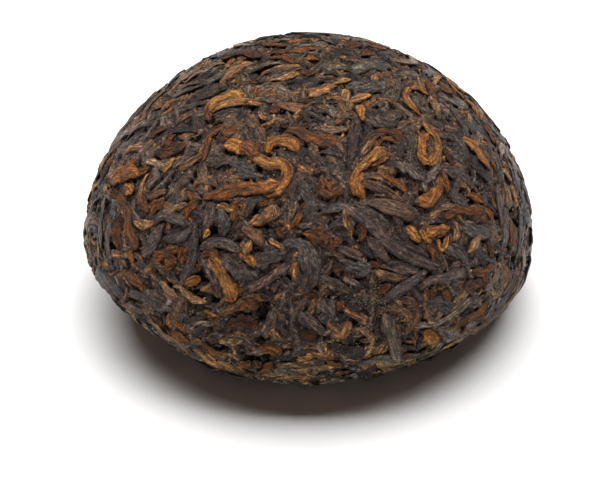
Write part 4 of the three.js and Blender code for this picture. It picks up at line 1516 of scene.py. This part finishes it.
class TEA_OT_carpet(bpy.types.Operator):
    """Makes the pressed body: a carpet of overlapping leaves and bits that shows between the others"""

    bl_idname = "tea.carpet"
    bl_label = "Pressed body"
    LEAVES = 1500
    BITS = 7000
    SHARES = (0.66, 0.29, 0.05)  # of dark, brown and golden ones
    RAMP_PARTS = ((0.05, 0.33), (0.42, 0.3), (0.76, 0.24))  # start and length of the part of each on the ramp
    LOOSE = 0.8  # how much more unevenly they lie at the foot
    STRAY = 0.20  # mm that one usually lies above or below another
    HIGHEST = 0.1  # mm above the outline

    def execute(self, context):
        shape, leaves, colours, _ = settings()
        skin = PressedSkin(shape)
        random = np.random.default_rng([leaves.seed, 1])
        carpet = Carpet(skin, leaves.core_depth / MM, random)
        for count, kind in ((self.LEAVES, "under"), (self.BITS, "bit")):
            for leaf in scattered(skin, random, {kind: 1.0}, count):
                start, part = self.RAMP_PARTS[random.choice(len(self.SHARES), p=self.SHARES)]
                loose = looseness(leaf["line"][MIDDLE, 2], self.LOOSE)
                level = -leaves.carpet_depth / MM + random.normal(0, self.STRAY) * loose
                carpet.press(leaf, min(level, self.HIGHEST), start + part * leaf["tone"], random)
        # Leaf of every kind, steamed soft and pressed together: dark and crumbly, with brown and gold in it
        material = leaf_material(
            "Fermented leaf and bits, pressed",
            (
                (0.0, colours.dark_low),
                (0.2, colours.dark_mid),
                (0.4, colours.dark_high),
                (0.55, colours.brown_mid),
                (0.72, colours.brown_high),
                (0.86, colours.gold_mid),
                (1.0, colours.gold_high),
            ),
            rough=0.45,
            streak=0.26,
        )
        for name, data in zip(("pressed_hollow", "pressed_flank", "pressed_dome"), carpet.pieces()):
            mesh_piece(name, *data, material)
        return {"FINISHED"}


class TEA_OT_dark_leaves(bpy.types.Operator):
    """Lays the dark rolled leaves"""

    bl_idname = "tea.dark_leaves"
    bl_label = "Dark leaves"

    def execute(self, context):
        # Leaf fermented through and rolled: near black, creased lengthwise, with a dull sheen on its ridges
        material = leaf_material(
            "Fermented leaf, rolled and pressed", family_stops("dark"), rough=0.36, streak=0.7
        )
        leaf_piece("dark_leaves", "dark", material, seed=2, stations=15, over=9, beneath=2)
        return {"FINISHED"}


class TEA_OT_broad_leaves(bpy.types.Operator):
    """Lays the broad greyish leaves"""

    bl_idname = "tea.broad_leaves"
    bl_label = "Broad leaves"

    def execute(self, context):
        # The same leaf, opened by the steam and pressed flat: greyer, with slanting veins and a dull sheen
        material = leaf_material(
            "Fermented leaf, broad and flattened", family_stops("slate"), rough=0.38, streak=0.7
        )
        leaf_piece("broad_leaves", "slate", material, seed=3, stations=20, over=13, beneath=3)
        return {"FINISHED"}


class TEA_OT_brown_leaves(bpy.types.Operator):
    """Lays the brown leaves"""

    bl_idname = "tea.brown_leaves"
    bl_label = "Brown leaves"

    def execute(self, context):
        # Younger leaf, fermented half through and rolled: warm brown, matter, with long streaks
        material = leaf_material(
            "Half fermented leaf, rolled and pressed", family_stops("brown"), rough=0.55, streak=0.8, run=1.8
        )
        leaf_piece("brown_leaves", "brown", material, seed=4, stations=15, over=9, beneath=2)
        return {"FINISHED"}


class TEA_OT_golden_buds(bpy.types.Operator):
    """Lays the golden buds"""

    bl_idname = "tea.golden_buds"
    bl_label = "Golden buds"

    def execute(self, context):
        # Bud leaf whose down stayed golden, pressed: brightest on the cake, soft, matt and finely streaked
        material = leaf_material(
            "Golden bud, downy and pressed",
            family_stops("gold", (0.1, 0.5, 0.9)),
            rough=0.62,
            streak=0.7,
            gloss=0.2,
            crumple=0.2,
            run=2.4,
            stray=0.4,
        )
        leaf_piece("golden_buds", "gold", material, seed=5, stations=25, over=13, beneath=3)
        return {"FINISHED"}


class TEA_OT_stalks(bpy.types.Operator):
    """Lays the stalks"""

    bl_idname = "tea.stalks"
    bl_label = "Stalks"

    def execute(self, context):
        # Leaf stalk, dried: a round pale brown rod with fibres along its whole length
        material = leaf_material("Leaf stalk, dried", family_stops("stalk"), rough=0.55, streak=0.5, run=3.0)
        leaf_piece("stalks", "stalk", material, seed=6, stations=22, over=7, beneath=3)
        return {"FINISHED"}


class TEA_OT_chips(bpy.types.Operator):
    """Lays the short broken bits of leaf that fill the gaps"""

    bl_idname = "tea.chips"
    bl_label = "Broken leaf"

    def execute(self, context):
        # Dark leaf, broken by the pressing: near black and crumpled, with little sheen
        material = leaf_material(
            "Fermented leaf, broken and pressed", family_stops("dark"), rough=0.40, streak=0.7
        )
        leaf_piece("dark_broken_leaf", "chip", material, seed=7, stations=8, over=7, beneath=2)
        # Brown leaf, broken by the pressing: warm brown and matt
        material = leaf_material(
            "Half fermented leaf, broken and pressed", family_stops("brown"), rough=0.55, streak=0.8
        )
        leaf_piece("brown_broken_leaf", "flake", material, seed=8, stations=8, over=7, beneath=2)
        return {"FINISHED"}


class TEA_OT_crumbs(bpy.types.Operator):
    """Strews crumbs of leaf, caught in the gaps between the leaves"""

    bl_idname = "tea.crumbs"
    bl_label = "Crumbs"
    CRUMBS = 5200
    STRAY = 0.8  # mm that a crumb usually lies off its even place
    SIZES = (0.14, 0.34)  # mm from the middle of a crumb to its surface
    HEIGHTS = (-0.50, -0.14)  # mm of the middle of a crumb above the outline
    TONES = (0, 1)
    DUST_SIZES = (0.06, 0.15)
    DUST_HEIGHTS = (-0.20, 0.08)
    DUST_TONES = (0.8, 1.1)
    UNEVEN = (0.6, 1.3)  # how far each corner stands out
    LOWEST = 0.05  # mm above the table
    CORNERS = np.array([(0, 0, 1), (1, 0, 0), (0, 1, 0), (-1, 0, 0), (0, -1, 0), (0, 0, -1)], float)
    FACES = np.array([(0, 1, 2), (0, 2, 3), (0, 3, 4), (0, 4, 1), (5, 2, 1), (5, 3, 2), (5, 4, 3), (5, 1, 4)])
    # The same corners on the sheet
    FLAT = np.array([(0.5, 0.5), (0.9, 0.5), (0.5, 0.9), (0.1, 0.5), (0.5, 0.1), (0.5, 0.5)])

    def execute(self, context):
        shape, leaves, colours, stage = settings()
        skin = PressedSkin(shape)
        random = np.random.default_rng([leaves.seed, 9])
        strewn = skin.spread(self.CRUMBS, random) + random.normal(0, self.STRAY, (self.CRUMBS, 3))
        dusty = np.vstack([random.normal((x, y), spread, (count, 2)) for x, y, spread, count in SEEN_DUST])
        grains = len(dusty)
        total = self.CRUMBS + grains
        corner_count = len(self.CORNERS)
        place, normal = skin.nearest(np.vstack([strewn, seen_at(skin, stage, dusty)]))

        def drawn(crumb, grain):
            """A random number for each crumb and for each grain of dust, from their two ranges."""
            return np.concatenate([random.uniform(*crumb, self.CRUMBS), random.uniform(*grain, grains)])

        middle = place + normal * drawn(self.HEIGHTS, self.DUST_HEIGHTS)[:, None]
        turn = np.linalg.qr(random.normal(0, 1, (total, 3, 3)))[0]
        turn *= np.linalg.det(turn)[:, None, None]
        size = drawn(self.SIZES, self.DUST_SIZES)[:, None, None]
        shapes = self.CORNERS * (size * random.uniform(*self.UNEVEN, (total, corner_count, 1)))
        corners = middle[:, None, :] + shapes @ turn
        corners[..., 2] = np.maximum(corners[..., 2], self.LOWEST)
        faces = (self.FACES[None] + corner_count * np.arange(total)[:, None, None]).reshape(-1, 3)
        columns = math.ceil(math.sqrt(total))
        cell = np.stack([np.arange(total) % columns, np.arange(total) // columns], axis=1)
        uvs = ((self.FLAT[self.FACES][None] + cell[:, None, None, :]) / columns).reshape(-1, 2)
        seeds = np.repeat(random.uniform(*SEEDS, total), corner_count)
        values = {
            "leaf_tone": np.repeat(drawn(self.TONES, self.DUST_TONES), corner_count),
            "leaf_painted_shade": np.ones(corner_count * total),
            "leaf_grain": np.column_stack([shapes.reshape(-1, 3)[:, :2], seeds]),
        }
        # Leaf and stalk rubbed to crumbs: dull specks, from near black to the pale brown of stalk fibre
        material = leaf_material(
            "Leaf crumbs, dry",
            ((0.0, colours.dark_low), (0.6, colours.dark_mid), (1.0, colours.stalk_high)),
            rough=0.6,
            streak=0.3,
            crumple=0.0,
        )
        mesh_piece("leaf_crumbs", corners.reshape(-1, 3), faces, uvs, values, material)
        return {"FINISHED"}


class TEA_OT_stage(bpy.types.Operator):
    """Sets the table, the soft light and the photograph's camera"""

    bl_idname = "tea.stage"
    bl_label = "Stage"
    TABLE_SIZE = 6.0  # m
    TABLE_ROUGHNESS = 0.7
    TABLE_GLOSS = 0.1
    SOFTBOX = {"size": (1.1, 0.7), "place": (0.0, 0.25, 0.72)}  # m
    CARD = {"size": (1.2, 0.03), "place": (0.0, -0.9, 0.02)}  # m
    LIT = Vector((0, 0, 0.02))  # m, what the lights face
    SENSOR = 36.0  # mm
    CLIP = (0.01, 20)  # m

    def add_lamp(self, scene, name, power, size, place):
        """A rectangular light that faces the tea cake."""
        lamp = bpy.data.lights.new(name, "AREA")
        lamp.shape = "RECTANGLE"
        lamp.size, lamp.size_y = size
        lamp.energy = power
        light = bpy.data.objects.new(name, lamp)
        light.location = place
        light.rotation_euler = (self.LIT - light.location).to_track_quat("-Z", "Y").to_euler()
        scene.collection.objects.link(light)

    def add_table(self, scene, colour):
        """A sheet of card, wide enough to fill any view."""
        half = self.TABLE_SIZE / 2
        mesh = bpy.data.meshes.new("table")
        corners = [(-half, -half, 0), (half, -half, 0), (half, half, 0), (-half, half, 0)]
        mesh.from_pydata(corners, [], [(0, 1, 2, 3)])
        # Uncoated card, smooth and white: it scatters light evenly, with soft shadows and no reflection
        material, _, shader = new_material("White card, matt")
        shader.inputs["Base Color"].default_value = (*colour, 1)
        shader.inputs["Roughness"].default_value = self.TABLE_ROUGHNESS
        shader.inputs["Specular IOR Level"].default_value = self.TABLE_GLOSS
        mesh.materials.append(material)
        table = bpy.data.objects.new("table", mesh)
        scene.collection.objects.link(table)

    def add_camera(self, scene, stage):
        """The camera, with the place, aim and lens that the photograph was taken with."""
        place, right, upward, forward = camera_axes(stage)
        view = bpy.data.cameras.new("Photograph's camera")
        view.sensor_width = self.SENSOR
        view.lens = stage.focal_pixels / PHOTO_WIDTH * self.SENSOR
        view.clip_start, view.clip_end = self.CLIP
        camera = bpy.data.objects.new("Photograph's camera", view)
        turn = Matrix((right, upward, -forward)).transposed().to_4x4()
        camera.matrix_world = Matrix.Translation(place) @ turn
        scene.collection.objects.link(camera)
        scene.camera = camera

    def execute(self, context):
        _, _, colours, stage = settings()
        scene = context.scene
        self.add_table(scene, colours.table)
        world = bpy.data.worlds.new("Even studio light")
        world.use_nodes = True
        background = world.node_tree.nodes["Background"]
        background.inputs["Color"].default_value = (*colours.room, 1)
        background.inputs["Strength"].default_value = stage.sky
        scene.world = world
        self.add_lamp(scene, "Overhead softbox", stage.softbox, **self.SOFTBOX)
        self.add_lamp(scene, "Low front card", stage.card, **self.CARD)
        self.add_camera(scene, stage)
        scene.view_settings.view_transform = "Standard"
        return {"FINISHED"}


STEPS = (
    TEA_OT_carpet,
    TEA_OT_dark_leaves,
    TEA_OT_broad_leaves,
    TEA_OT_brown_leaves,
    TEA_OT_golden_buds,
    TEA_OT_stalks,
    TEA_OT_chips,
    TEA_OT_crumbs,
    TEA_OT_stage,
)


class TEA_PT_sidebar(bpy.types.Panel):
    """Lists the steps that make the tea cake"""

    bl_label = "Tea cake"
    bl_idname = "TEA_PT_sidebar"
    bl_space_type = "VIEW_3D"
    bl_region_type = "UI"
    bl_category = "Tea cake"

    def draw(self, context):
        for step in STEPS:
            self.layout.operator(step.bl_idname)
        for group in settings():
            box = self.layout.box()
            for name in group.bl_rna.properties.keys():
                if name not in {"rna_type", "name"}:
                    box.prop(group, name)


GROUPS = {"tea_shape": TeaShape, "tea_leaves": TeaLeaves, "tea_colours": TeaColours, "tea_stage": TeaStage}
CLASSES = (*GROUPS.values(), *STEPS, TEA_PT_sidebar)


def register():
    """Adds the settings, the steps and the panel to Blender."""
    for one in CLASSES:
        bpy.utils.register_class(one)
    for name, group in GROUPS.items():
        setattr(bpy.types.Scene, name, PointerProperty(type=group))


def unregister():
    """Takes them out again."""
    for name in GROUPS:
        delattr(bpy.types.Scene, name)
    for one in reversed(CLASSES):
        bpy.utils.unregister_class(one)


def main():
    """Makes the tea cake and its stage."""
    register()
    bpy.ops.tea.carpet()
    bpy.ops.tea.dark_leaves()
    bpy.ops.tea.broad_leaves()
    bpy.ops.tea.brown_leaves()
    bpy.ops.tea.golden_buds()
    bpy.ops.tea.stalks()
    bpy.ops.tea.chips()
    bpy.ops.tea.crumbs()
    bpy.ops.tea.stage()


if __name__ == "__main__":
    main()
